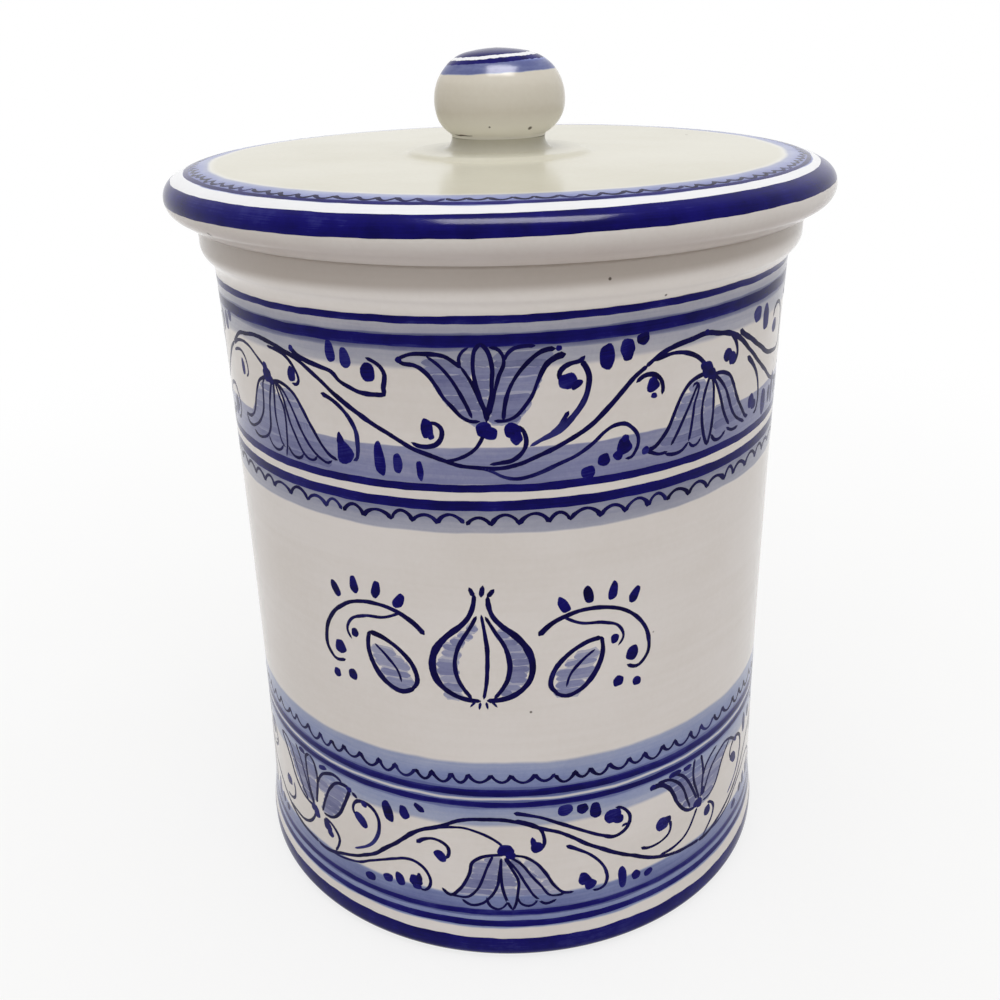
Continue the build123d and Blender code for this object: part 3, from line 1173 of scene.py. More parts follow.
UPPER_LOTUS = dict(
    home=UPPER_STRETCHES[0],
    vine=(
        ((0.75, 0.7, 0.8, 0.85, 0.75), 1.0, (
            (-11.5, 105.7), (-10, 105.2), (-8, 104.6), (-5, 104.2), (-2, 104.0), (0, 104.1), (3, 104.8),
            (5, 105.6), (10, 107.7), (15, 110.5), (18, 113.1), (20, 115), (22, 116.9), (24.7, 118.6))),
        ((0.6, 0.7, 0.5), 0.95, ((-3.2, 110.5), (-5, 107.4), (-8, 105.7), (-10.5, 105.2))),
        ((0.7, 0.75, 0.8, 0.6), 1.0, (
            (-16, 108.3), (-14.5, 107.7), (-12.8, 107.7), (-11.3, 108.3), (-10.5, 109.7), (-10.6, 110.8),
            (-11.5, 111.6), (-12.7, 111.7))),
        ((0.6, 0.85, 0.7, 0.6), 1.0, (
            (1.8, 111.1), (2.8, 110.6), (3.4, 109.4), (3.5, 108.0), (2.8, 106.5), (1.2, 105.3),
            (-0.5, 105.0), (-2.6, 104.7))),
        ((0.5, 0.7, 0.65, 0.7, 0.6), (0.8, 0.85, 0.9, 0.9), (
            (-4, 104.1), (-2, 103.4), (-0.5, 102.6), (2, 102.1), (4, 102.4), (6, 103.0), (9, 104.2),
            (12, 105.3), (15, 107.1), (17, 108.7), (19, 109.6), (20.8, 109.6), (22.3, 108.5),
            (23.3, 107.1), (23.4, 105.5), (22.9, 104.4), (22.2, 103.6), (21, 103.5))),
        ((0.5, 0.9, 1.2, 1.05, 0.9, 0.85, 0.8), (0.5, 0.6, 0.7, 0.8, 0.95, 1.0), (
            (4.2, 107.6), (6, 108.5), (8, 109.4), (10, 110.6), (12, 112.6), (13.3, 114.4), (14, 116.5),
            (14.1, 118.2), (13.5, 119.8), (12.6, 121.0))),
        ((0.9, 0.7, 0.8, 0.6), 1.0, (
            (13.4, 121.7), (12.6, 121.0), (11, 120.7), (9.8, 120.2), (9.1, 119.4), (9.3, 118.0))),
        ((0.9, 0.7, 0.5), (0.9, 0.7, 0.6), ((10.7, 113.0), (9.8, 111.6), (9, 110.5), (7.5, 109.6))),
    ),
    flower=(
        ((0.6, 0.75, 0.7, 0.7, 0.7), 1.0, (
            (-17.5, 121.9), (-16.9, 121.5), (-14.5, 121.1), (-12.5, 119.8), (-11.3, 118.2), (-10, 116.0),
            (-8.5, 114.4), (-7, 112.8), (-5.5, 112.1), (-4, 112.1))),
        ((0.55, 0.75, 0.7), 1.0, (
            (-17.4, 122.1), (-15, 122.9), (-12, 123.0), (-9.5, 122.6), (-8, 121.7), (-6.7, 120.8))),
        ((0.6, 0.7, 0.65), 0.98, (
            (-12.5, 122.6), (-10.5, 121.2), (-8.5, 118.9), (-6.8, 116.0), (-5.8, 113.9), (-5.3, 112.6))),
        ((0.6, 0.7, 0.7), 1.0, (
            (-6.9, 121.0), (-5.5, 118.9), (-4.5, 116.7), (-3.5, 114.4), (-2.8, 113.0))),
        ((0.6, 0.6, 0.5), 0.98, ((-6.9, 120.9), (-7.2, 122.3), (-6.5, 123.5), (-5.5, 124.1))),
        ((0.7, 0.75, 0.8), 1.0, (
            (-3.6, 124.8), (-4.5, 123.7), (-4.9, 121.6), (-4.7, 118.9), (-4, 116.2), (-3.2, 113.9),
            (-2.9, 112.1))),
        ((0.7, 0.75, 0.8), 1.0, (
            (-3.6, 124.7), (-2.6, 123.5), (-1.9, 121.2), (-1.9, 118.5), (-2.1, 116.2), (-2.6, 113.9),
            (-3, 111.9))),
        ((0.6, 0.7, 0.65), 1.0, (
            (-2.3, 124), (-1, 123.8), (-0.2, 123.0), (0.1, 121.4), (-0.8, 119.4), (-1.4, 117.1),
            (-2, 114.8), (-2.5, 113))),
        ((0.6, 0.65, 0.8), 0.98, ((0.1, 121.6), (0.8, 123.0), (2, 123.8), (3.3, 124.0), (5.2, 124.0))),
        ((0.75, 0.7, 0.75, 1.0), 1.0, (
            (-0.2, 112.1), (0, 113.9), (0.5, 116.2), (1.5, 118.5), (3, 120.5), (4.8, 122.2), (6.5, 123.1),
            (8.5, 123.3))),
        ((0.6, 0.7, 0.75, 1.3), 1.0, (
            (-1.7, 112.1), (0.5, 112.1), (2, 112.8), (3.5, 114.4), (4.7, 116.2), (5.5, 118.2),
            (6.2, 119.8), (7.3, 121.2), (8.5, 121.9), (10.1, 122.3))),
    ),
    dabs=(
        (-17.3, 121.9, 1.2, 1.1, 30, 0.0), (-22.1, 104.9, 2.1, 6.4, 3, 0.12),
        (-18.7, 104.4, 1.7, 3.9, 2, 0.05), (-14.7, 103.4, 1.3, 3.6, 3, 0.0),
        (-13.1, 110.8, 2.2, 3.5, 6, 0.1), (-12.6, 109.7, 1.5, 1.7, 30, 0.0),
        (-3.5, 110.8, 2.7, 2.7, 10, 0.1), (-2.4, 110.0, 2.4, 2.4, -20, 0.0),
        (1.3, 110.4, 3.0, 2.7, -10, 0.0), (1.9, 109.1, 2.1, 2.4, 25, 0.0),
        (20.7, 105.8, 2.9, 3.0, 15, 0.25), (19.7, 104.4, 1.8, 2.1, -35, 0.2),
        (20.9, 107.0, 1.5, 1.4, 20, 0.0), (14.2, 102.1, 2.7, 2.3, 8, 0.0),
        (17.0, 103.9, 2.4, 2.2, 12, 0.0), (10.5, 117.9, 3.1, 2.9, 12, 0.0),
        (12.0, 117.2, 2.2, 1.4, 35, 0.0), (17.2, 121.1, 2.7, 4.5, 4, 0.0),
        (20.8, 122.1, 2.7, 3.1, 14, 0.0), (20.9, 120.9, 2.2, 1.9, 0, 0.0),
        (23.7, 123.1, 2.5, 2.1, 12, -0.25), (9.0, 123.3, 1.0, 1.0, 0, 0.0),
    ),
    fills=(
        (((-5.6, 112.4), (-7.6, 113.4), (-9.4, 115.4), (-11.2, 117.6), (-12.0, 119.4), (-13.4, 120.8)),
         ((-3.2, 112.4), (-3.6, 114.4), (-4.6, 116.7), (-5.6, 118.9), (-6.9, 121.2), (-8.4, 122.6)),
         122.0, 112.4, 0.78),
        (((-3.0, 112.6), (-4.2, 116.2), (-4.9, 118.9), (-5.0, 121.6), (-4.6, 123.6)),
         ((-2.8, 112.6), (-2.2, 116.2), (-1.9, 118.5), (-1.9, 121.2), (-2.6, 123.6)), 123.4, 114.2, 0.72),
        (((-7.0, 121.2), (-7.1, 123.0)), ((-5.2, 121.2), (-4.9, 123.6)), 123.6, 120.6, 0.72),
        (((-2.7, 112.6), (-2.3, 115.0), (-2.0, 118.0), (-1.9, 121.0), (-1.6, 122.4), (-1.2, 123.4)),
         ((2.4, 112.6), (4.3, 114.8), (5.8, 118.0), (6.8, 120.4), (7.8, 122.2), (8.2, 123.2)),
         123.0, 112.4, 0.78),
    ),
)

UPPER_BELL = dict(
    home=UPPER_STRETCHES[0],
    vine=(
        ((0.6, 0.8, 0.85, 0.8, 0.85, 0.9, 0.8, 0.75), 1.0, (
            (-62, 118.4), (-60, 119.8), (-57.2, 121.2), (-55, 121.5), (-50, 122.05), (-45, 121.5),
            (-42, 120.9), (-39, 120.2), (-36.2, 118.8), (-33.3, 117.1), (-30, 114.9), (-26.1, 112.6),
            (-20, 109.4), (-15, 106.9), (-12, 105.9), (-10, 105.2))),
        ((0.5, 0.65, 0.6), 0.92, (
            (-61.5, 118.3), (-60, 119.2), (-57, 119.9), (-54, 119.6), (-51, 118.3), (-48.3, 116.8))),
        ((0.6, 0.7, 0.65, 0.6), 1.0, (
            (-46.7, 120.8), (-44, 120.6), (-42, 120.2), (-40.5, 119.4), (-39.3, 118.2), (-38.5, 117.1),
            (-38.4, 116.1), (-39.2, 115.4), (-40.3, 115.5))),
        ((1.1, 0.9, 0.8, 0.75, 0.8, 0.85, 0.7), 1.0, (
            (-40, 121.9), (-38.5, 120.8), (-36, 120), (-33, 119.4), (-30.2, 118.7), (-29, 117.6),
            (-27, 116.7), (-25, 116.0), (-22, 115.9), (-20.3, 116.2), (-20.4, 117.1), (-20.1, 118.2),
            (-20, 119.4), (-20.6, 120.5), (-21.7, 121.3), (-23.3, 121.9))),
        ((0.95, 0.75, 0.8, 0.85, 0.9, 0.6), (0.95, 0.9, 0.85, 0.8, 0.75), (
            (-33.3, 114.8), (-31, 114.1), (-29, 112.8), (-27.5, 111.2), (-26.5, 109.4), (-26.2, 107.1),
            (-26.3, 105.3), (-26.7, 104.2), (-27.4, 103.9))),
        ((0.5, 0.6, 0.6, 0.5), 0.9, (
            (-62, 117.1), (-60, 117.7), (-58, 117.8), (-56.3, 116.9), (-55.6, 115.5), (-55.8, 113.9),
            (-56.7, 113.3))),
    ),
    flower=(
        ((0.6, 0.65, 0.6), 0.95, (
            (-47.8, 115.4), (-49.3, 114.8), (-51, 113.9), (-52.2, 112.4), (-53.2, 110.5), (-54, 108.5),
            (-55.2, 106.9), (-56.8, 106), (-59.3, 105.9))),
        ((0.55, 0.6, 0.55), 0.95, (
            (-48.6, 115.0), (-49.6, 113.9), (-50, 112.1), (-50.3, 109.9), (-51, 108), (-52.5, 106.2),
            (-54.5, 104.9), (-56.5, 104.2), (-58.6, 104.6), (-59.3, 105.8))),
        ((0.6, 0.65, 0.6), 0.95, (
            (-46.3, 115.0), (-47.3, 112.6), (-48, 110.3), (-48.3, 108), (-48.7, 105.8), (-50, 104.0),
            (-52, 103.1), (-54, 102.9), (-55.8, 103.6))),
        ((0.55, 0.6, 0.55), 0.95, (
            (-45.8, 115.0), (-46.2, 111.6), (-46.4, 109.4), (-46.2, 107.1), (-45.8, 105.3),
            (-45.2, 103.8), (-44.3, 103.1))),
        ((0.55, 0.6, 0.55), 0.92, (
            (-49.7, 104.0), (-48.8, 102.6), (-47.3, 102), (-45.8, 102.4), (-44.9, 103.3))),
        ((0.55, 0.6, 0.5), 0.95, (
            (-45.6, 115.0), (-44.3, 112.1), (-43.5, 110.3), (-43.3, 108), (-43.4, 105.8), (-43.7, 103.5),
            (-44.2, 101.4))),
        ((0.55, 0.65, 0.55), 0.95, (
            (-45.4, 115.0), (-43.5, 112.6), (-42.8, 110.3), (-42, 108), (-41, 106.2), (-40, 104.4),
            (-39, 103.1), (-37.5, 102.3), (-36.3, 102.5), (-35.6, 103.3))),
        ((0.55, 0.6, 0.55), 0.92, (
            (-43.3, 103.6), (-42.6, 102.6), (-41.5, 102.0), (-40, 102.1), (-39.1, 103.0))),
        ((0.55, 0.65, 0.6, 0.55), 0.95, (
            (-45.2, 114.8), (-43, 113.5), (-41.5, 111.6), (-40.3, 109.6), (-39.3, 107.6), (-38, 105.8),
            (-36.5, 104.2), (-34.5, 102.9), (-33.2, 102.5), (-32.1, 103.1))),
        ((0.6, 0.7, 0.7, 0.6), 0.95, (
            (-46.6, 114.7), (-44, 115.0), (-42, 114.6), (-40, 113.5), (-38.5, 111.6), (-37, 109.4),
            (-35.5, 107.4), (-34, 105.3), (-32.5, 104.0), (-30.8, 103.4))),
    ),
    dabs=(
        (-40.2, 117.1, 2.1, 2.9, -8, 0.15), (-23.1, 119.5, 2.7, 3.5, 6, 0.0),
        (-30.4, 122.3, 2.1, 3.8, 4, 0.1), (-27.4, 121.5, 2.1, 3.8, 6, 0.15),
        (-29.2, 105.3, 3.4, 4.6, 18, 0.45), (-29.9, 107.5, 1.4, 2.4, 8, 0.5),
        (-47.8, 115.6, 2.8, 2.9, 10, 0.1), (-48.3, 117.0, 1.6, 1.7, 25, 0.2),
        (-46.7, 114.8, 1.8, 1.7, -20, 0.0), (-39.6, 121.6, 1.2, 1.2, 30, 0.0),
        (-57.9, 114.9, 1.7, 3.2, 8, 0.1),
    ),
    fills=(
        (((-50.3, 113.8), (-52.6, 111.4), (-53.4, 109.8)),
         ((-46.6, 113.8), (-43.4, 111.4), (-42.6, 109.8)), 113.8, 107.6, 0.66),
        (((-44.2, 113.8), (-43.0, 111.4), (-42.4, 108.2)),
         ((-40.6, 113.8), (-38.8, 111.4), (-36.4, 108.2)), 113.8, 107.6, 0.74),
        (((-53.2, 110.6), (-54.6, 108.0), (-57.0, 105.2), (-58.0, 103.6)),
         ((-42.8, 110.6), (-43.2, 108.0), (-43.6, 105.2), (-44.0, 103.0)), 109.9, 103.4, 0.80),
        (((-43.2, 108.6), (-43.5, 105.2), (-44.0, 103.0)),
         ((-36.8, 108.6), (-34.6, 105.2), (-32.6, 103.4)), 108.4, 103.4, 0.84),
    ),
)

UPPER_WIDE_BELL = dict(
    home=UPPER_STRETCHES[1],
    vine=(
        ((0.8, 0.9, 0.95, 0.9, 0.85, 0.8, 0.8, 0.75, 0.75), 1.0, (
            (24.3, 118.4), (25.4, 119.1), (27, 120.0), (30.2, 120.9), (33.7, 121.4), (37.2, 121.8),
            (40.1, 121.2), (43.0, 120.7), (45.4, 119.8), (47.7, 118.5), (50, 116.8), (52.4, 115.1),
            (54.7, 113.4), (57, 111.8), (60, 109.9), (62.9, 108.1), (65.8, 106.9), (70, 105.9),
            (75, 105.4), (79.3, 105.2))),
        ((0.6, 0.75, 0.7), 1.0, (
            (26.0, 119.1), (30.2, 119.8), (33.1, 119.2), (35.4, 118.1), (37.5, 116.4))),
        ((0.7, 0.8, 0.7), 1.0, (
            (41.0, 121.0), (44.2, 120.3), (45.4, 119.2), (46.2, 117.7), (46.4, 116.3), (45.8, 115.3),
            (44.8, 114.9))),
        ((1.1, 0.9, 0.85, 0.75, 0.75, 0.7), 1.0, (
            (46.8, 120.3), (48.3, 119.4), (51.2, 117.9), (54.1, 116.3), (57, 114.8), (60, 113.4),
            (62.9, 112.7), (65.8, 112.3), (68, 112.3), (69.6, 113.2), (70, 115), (69.6, 117),
            (68.8, 118.9), (67.4, 120.4), (65.6, 121.2), (63.8, 121.2), (62.6, 120.4), (62.2, 119.2))),
        ((1.0, 0.8, 0.75, 0.7, 0.6), 0.95, (
            (50.3, 114.9), (52.4, 113.4), (54.1, 111.8), (55.6, 109.7), (56.5, 107.2), (56.5, 104.7),
            (55.9, 103.5), (54.9, 103.3))),
        ((0.8, 0.8, 0.75, 0.65), 1.0, (
            (22.6, 116.1), (23.6, 116.8), (25, 117.1), (26.2, 116.9), (27.3, 116.1), (27.9, 114.7),
            (27.8, 113.3))),
    ),
    flower=(
        ((0.75, 0.75, 0.8, 0.8), 1.0, (
            (37.8, 114.8), (35.7, 114.7), (34, 114.1), (32.5, 112.7), (31.5, 111.1), (30.5, 109.1),
            (29.5, 107.2), (28.1, 105.5), (26.7, 104.4), (25.2, 104.2))),
        ((0.8, 0.65, 0.6), 1.0, ((24.8, 104.3), (26.4, 103.5), (27.8, 103.0), (29.5, 103.1))),
        ((0.65, 0.7, 0.65), 0.98, (
            (36, 113.7), (35.1, 112.2), (34, 110), (32.8, 108), (31.6, 106), (30.2, 104.0))),
        ((0.65, 0.65, 0.6), 0.95, ((29, 102.7), (30.8, 102.3), (32.8, 102.5), (34.3, 103.7))),
        ((0.6, 0.65, 0.6), 0.95, (
            (34.6, 113.2), (35.3, 113.8), (36, 113.4), (35.9, 111.9), (35.3, 110.2), (35, 108),
            (34.7, 105.8), (34.3, 103.8))),
        ((0.6, 0.65, 0.6), 0.95, ((34.4, 103.6), (35.4, 102.7), (36.6, 102.9), (37.4, 103.8))),
        ((0.65, 0.7, 0.75), 1.0, (
            (38.9, 114.4), (37.8, 111.9), (37.3, 109.7), (37.3, 106.9), (37.8, 104.7), (38.6, 102.7),
            (39.2, 101.9))),
        ((0.65, 0.7, 0.75), 1.0, (
            (39.2, 114.4), (40, 111.9), (40.2, 109.7), (40.2, 106.9), (40, 104.7), (39.5, 103),
            (39.1, 101.9))),
        ((0.65, 0.7, 0.65), 0.98, (
            (39.5, 114.3), (41, 111.9), (42.2, 109.7), (43.1, 107.4), (44.2, 105.5), (45.4, 104.0))),
        ((0.65, 0.65, 0.6), 0.95, ((40.1, 103.6), (41.3, 102.3), (42.7, 102.2), (44.3, 103.2))),
        ((0.65, 0.75, 0.65), 0.98, (
            (39.8, 114.3), (41.9, 112.7), (43.6, 110.8), (44.8, 108.6), (45.9, 106.6), (47.4, 104.9),
            (49.2, 103.8), (50.9, 103))),
        ((0.65, 0.75, 0.75, 0.65), 1.0, (
            (39.8, 114.3), (42.4, 114), (44.5, 113.1), (45.9, 111.3), (47.1, 109.1), (48.6, 106.9),
            (50, 105.2), (51.5, 103.8), (52.4, 103.7))),
        ((0.6, 0.65, 0.6), 0.92, ((44.6, 103.6), (46.5, 102.7), (48.6, 102.8))),
    ),
    dabs=(
        (38.1, 115.5, 2.9, 3.0, 20, 0.1), (39.3, 114.5, 2.1, 2.2, -15, 0.0),
        (37.0, 116.4, 1.5, 1.6, 20, 0.0), (43.5, 116.8, 2.6, 2.4, 30, 0.0),
        (44.9, 116.0, 2.3, 2.3, 20, 0.0), (53.2, 121.7, 3.1, 3.1, 10, 0.0),
        (57.3, 120.3, 3.0, 4.9, 8, 0.0), (63.4, 117.4, 2.9, 2.8, 30, 0.0),
        (53.3, 106.1, 2.6, 2.7, 30, 0.0), (54.6, 105.1, 2.2, 1.9, 10, 0.0),
        (60.0, 104.1, 2.8, 5.4, 8, 0.0), (64.0, 104.4, 2.0, 3.6, 5, 0.0),
        (25.9, 115.3, 2.4, 2.7, 18, 0.2), (26.2, 113.4, 1.3, 1.0, -10, 0.0),
        (24.9, 104.2, 1.5, 1.5, 10, 0.0), (37.3, 121.9, 1.1, 1.1, 10, 0.0),
    ),
    fills=(
        (((35.2, 114.0), (32.9, 112.4), (31.6, 110.6), (30.6, 108.4)),
         ((38.6, 114.0), (37.8, 112.4), (37.3, 110.6), (37.2, 108.4)), 113.6, 107.8, 0.74),
        (((38.8, 113.6), (37.6, 110.6), (37.4, 107.0)),
         ((39.3, 113.6), (40.1, 110.6), (40.2, 107.0)), 113.0, 107.8, 0.62),
        (((40.2, 113.8), (42.2, 110.6), (43.0, 108.0)),
         ((43.6, 113.8), (45.8, 111.2), (47.0, 108.4)), 113.4, 107.8, 0.70),
        (((30.8, 108.6), (29.4, 106.4), (27.4, 104.2)),
         ((37.3, 108.6), (37.4, 106.4), (38.2, 104.0)), 108.2, 103.6, 0.84),
        (((38.0, 107.6), (38.4, 104.4)), ((40.1, 107.6), (39.8, 104.4)), 107.4, 103.6, 0.78),
        (((40.2, 108.6), (40.4, 105.4), (41.2, 103.6)),
         ((46.9, 108.6), (48.4, 106.2), (50.2, 104.4)), 108.2, 103.6, 0.84),
    ),
)

LOWER_BELL = dict(
    home=LOWER_STRETCHES[0],
    vine=(
        ((0.85, 0.8, 0.85, 0.95, 0.9, 0.8, 0.85, 0.9, 0.85, 0.8), 1.0, (
            (-46.7, 14.6), (-44.9, 14.4), (-41.8, 14.8), (-40.1, 15.4), (-36.5, 16.6), (-32.5, 18.4),
            (-29.5, 20.1), (-26.6, 22.6), (-24, 24.7), (-22.8, 25.9), (-20.4, 28.1), (-18.1, 29.5),
            (-15.7, 30.4), (-13.3, 31.5), (-10.9, 32.7), (-8.5, 33.3), (-5.2, 33.5), (-1.3, 33.3),
            (1.8, 32.5), (5.6, 31.1), (9.5, 29.5), (12.3, 27.7), (15.2, 25.6), (18.1, 23.8), (20.9, 22),
            (24, 20.4), (27.5, 18.5), (30.5, 17.1), (33.4, 16.1), (36.3, 15.4), (39.2, 15.0),
            (43.4, 14.6))),
        ((0.6, 0.65, 0.6, 0.7, 0.6), 0.95, (
            (-17.6, 29.6), (-14.7, 30.6), (-12.3, 31.1), (-9.9, 31.2), (-7.5, 30.6), (-5.2, 29.7),
            (-3.2, 28.4), (-2.1, 27.3))),
        ((0.5, 0.6, 0.65, 0.7, 0.6), (0.8, 0.85, 0.9), (
            (-42, 14.6), (-40.1, 14.7), (-37.2, 15.2), (-33.9, 16.1), (-30.6, 17.9), (-27.6, 19.3),
            (-24.7, 20.6), (-22.4, 21.4), (-20.4, 21.4), (-18.5, 20.4), (-17.3, 18.6), (-17, 17),
            (-17.5, 15.4), (-18.5, 14.7), (-19.4, 15))),
        ((0.5, 0.75, 0.9, 0.85, 0.8, 0.6), (0.5, 0.7, 0.9, 1.0), (
            (-34.8, 19.1), (-33, 20.1), (-30.7, 21.7), (-29, 23.9), (-28.1, 26.4), (-28, 28.7),
            (-28.7, 30.3), (-30.1, 31.4), (-31.6, 31.7), (-33, 31.4), (-34.1, 30.4), (-34.5, 28.9),
            (-33.9, 27.6))),
        ((1.0, 0.7, 0.75, 0.7), 0.95, (
            (-19.6, 26.0), (-18.1, 27.2), (-16.1, 27.7), (-14.2, 27.2), (-13, 26.1), (-12.9, 24.7),
            (-13.5, 23.4))),
        ((0.6, 0.75, 0.7, 0.6), 0.98, (
            (0.4, 33.3), (2.2, 32.9), (4.2, 32.0), (5.4, 30.9), (6.1, 28.8), (6.1, 27.5), (5.4, 26.1))),
        ((1.0, 0.75, 0.8, 0.75, 0.8, 0.85, 0.75, 0.65), 0.95, (
            (0.2, 35), (2.8, 34.4), (5.6, 33.6), (8.5, 32.2), (11.9, 30.4), (14.7, 28.8), (18.1, 27),
            (20.9, 26.1), (22.8, 26.8), (23.8, 27.9), (24.1, 29.7), (23.3, 31.3), (22.1, 32.4),
            (20.7, 32.8))),
        ((0.8, 0.6), 0.9, ((23.8, 28.0), (22.9, 28.2), (22.2, 27.8))),
        ((1.0, 0.7, 0.65, 0.7, 0.6), (0.95, 0.85, 0.85, 0.9), (
            (10.4, 26.4), (12.8, 25), (15.2, 23.4), (17.3, 21.1), (18.8, 18.4), (19, 16.1), (18.3, 14.7),
            (16.9, 14.3), (15.9, 14.5))),
    ),
    flower=(
        ((0.7, 0.7, 0.7), 1.0, (
            (-1.8, 25.3), (-4.2, 25.1), (-6.6, 24.5), (-8.3, 23.1), (-8.7, 21.1), (-9.5, 18.8),
            (-10.9, 16.5), (-12.8, 14.8), (-14.6, 16.2))),
        ((0.6, 0.6, 0.6), 0.98, (
            (-4, 25.1), (-5.2, 22.5), (-6.1, 19.7), (-7.5, 16.5), (-9.5, 14.7), (-11.8, 14.7),
            (-12.8, 14.8))),
        ((0.6, 0.65, 0.6), 0.98, (
            (-2.5, 24.5), (-2.8, 21.5), (-3.2, 18.4), (-4.7, 15.2), (-6.6, 13.4), (-8.5, 12.9),
            (-10.6, 14.2))),
        ((0.6, 0.65, 0.6), 1.0, ((-2.4, 24.5), (-2.5, 21.5), (-2.4, 18.4), (-1.8, 15.2), (-0.4, 12))),
        ((0.6, 0.65, 0.6), 1.0, (
            (-1.8, 24.5), (-0.4, 22), (0.8, 19.3), (0.7, 16.1), (0.2, 13.4), (-0.3, 12))),
        ((0.55, 0.6, 0.55), 0.95, ((-5.6, 15), (-4.7, 12.9), (-3.2, 12.2), (-1.8, 13.1), (-1.4, 14.0))),
        ((0.55, 0.6, 0.55), 0.95, ((0.6, 15.2), (1.5, 13.4), (3, 12.9), (4.2, 13.6), (4.6, 14.8))),
        ((0.6, 0.65, 0.6), 0.98, (
            (-1.6, 24.7), (0.6, 21.5), (2.5, 17.9), (4.4, 14.7), (6.3, 13.1), (8.4, 13.9))),
        ((0.6, 0.65, 0.6), 0.98, (
            (-1.3, 25), (1.1, 23.4), (3.4, 20.2), (5.4, 17.5), (7.3, 15), (10, 14.9))),
        ((0.65, 0.7, 0.6), 0.98, (
            (-0.9, 25.1), (2.5, 24.5), (4.4, 23.1), (6.3, 20.4), (8.2, 17), (10, 15.2), (12, 15.0))),
    ),
    dabs=(
        (-31.5, 31.3, 1.5, 1.7, 30, 0.0), (-32.5, 27.1, 2.3, 4.3, 44, 0.0),
        (-31.0, 13.9, 2.7, 2.1, 8, 0.0), (-26.6, 15.3, 2.5, 2.1, 15, 0.0),
        (-23.8, 15.9, 2.1, 3.5, 8, 0.0), (-20.2, 16.6, 2.9, 3.0, 5, 0.0), (-19.4, 17.5, 1.2, 2.6, 0, 0.3),
        (-20.0, 15.3, 2.0, 1.7, -20, 0.0), (-25.7, 31.7, 2.3, 5.4, 12, 0.0),
        (-22.0, 32.5, 2.2, 3.3, 14, 0.1), (-18.7, 34.4, 1.4, 2.7, 50, 0.1),
        (-14.7, 23.9, 2.1, 3.3, 35, 0.0), (-1.6, 26.4, 3.2, 2.8, 14, 0.1),
        (-0.6, 25.2, 2.2, 2.0, -20, 0.0), (4.6, 26.8, 2.5, 2.7, 10, 0.1), (3.9, 28.2, 1.2, 2.1, 8, 0.4),
        (10.3, 34.7, 3.1, 2.7, 4, 0.0), (13.8, 34.4, 2.5, 2.4, 10, 0.0), (16.5, 33.4, 2.4, 3.9, 3, 0.0),
        (20.2, 31.1, 3.7, 3.4, 10, 0.0), (21.4, 30.0, 2.5, 2.3, -25, 0.0), (22.5, 15.6, 2.0, 5.5, 4, 0.0),
        (25.7, 14.9, 2.1, 2.4, 30, 0.0), (28.7, 14.3, 2.2, 1.8, 20, 0.0), (14.2, 17.7, 2.6, 3.3, 15, 0.3),
        (15.5, 16.0, 2.6, 2.5, 35, 0.0),
    ),
    fills=(
        (((-4.6, 24.6), (-7.8, 22.8), (-8.6, 20.6), (-9.6, 18.2), (-11.4, 15.8)),
         ((-2.4, 24.6), (-2.7, 22.8), (-3.0, 20.6), (-3.4, 18.2), (-4.6, 15.8)), 24.6, 14.4, 0.72),
        (((-2.4, 24.0), (-3.2, 18.6), (-4.4, 14.8)),
         ((-1.6, 24.0), (0.6, 19.0), (0.4, 14.4)), 23.6, 13.2, 0.66),
        (((-1.4, 24.4), (0.8, 20.8), (0.9, 17.0), (1.0, 14.2)),
         ((0.6, 24.4), (3.6, 20.8), (6.2, 17.0), (7.8, 14.6)), 24.0, 13.6, 0.72),
        (((1.2, 24.6), (3.8, 21.0), (6.4, 17.2), (7.8, 15.0)),
         ((3.8, 23.8), (5.8, 21.4), (7.6, 18.0), (9.4, 15.4)), 24.0, 14.8, 0.50),
    ),
)

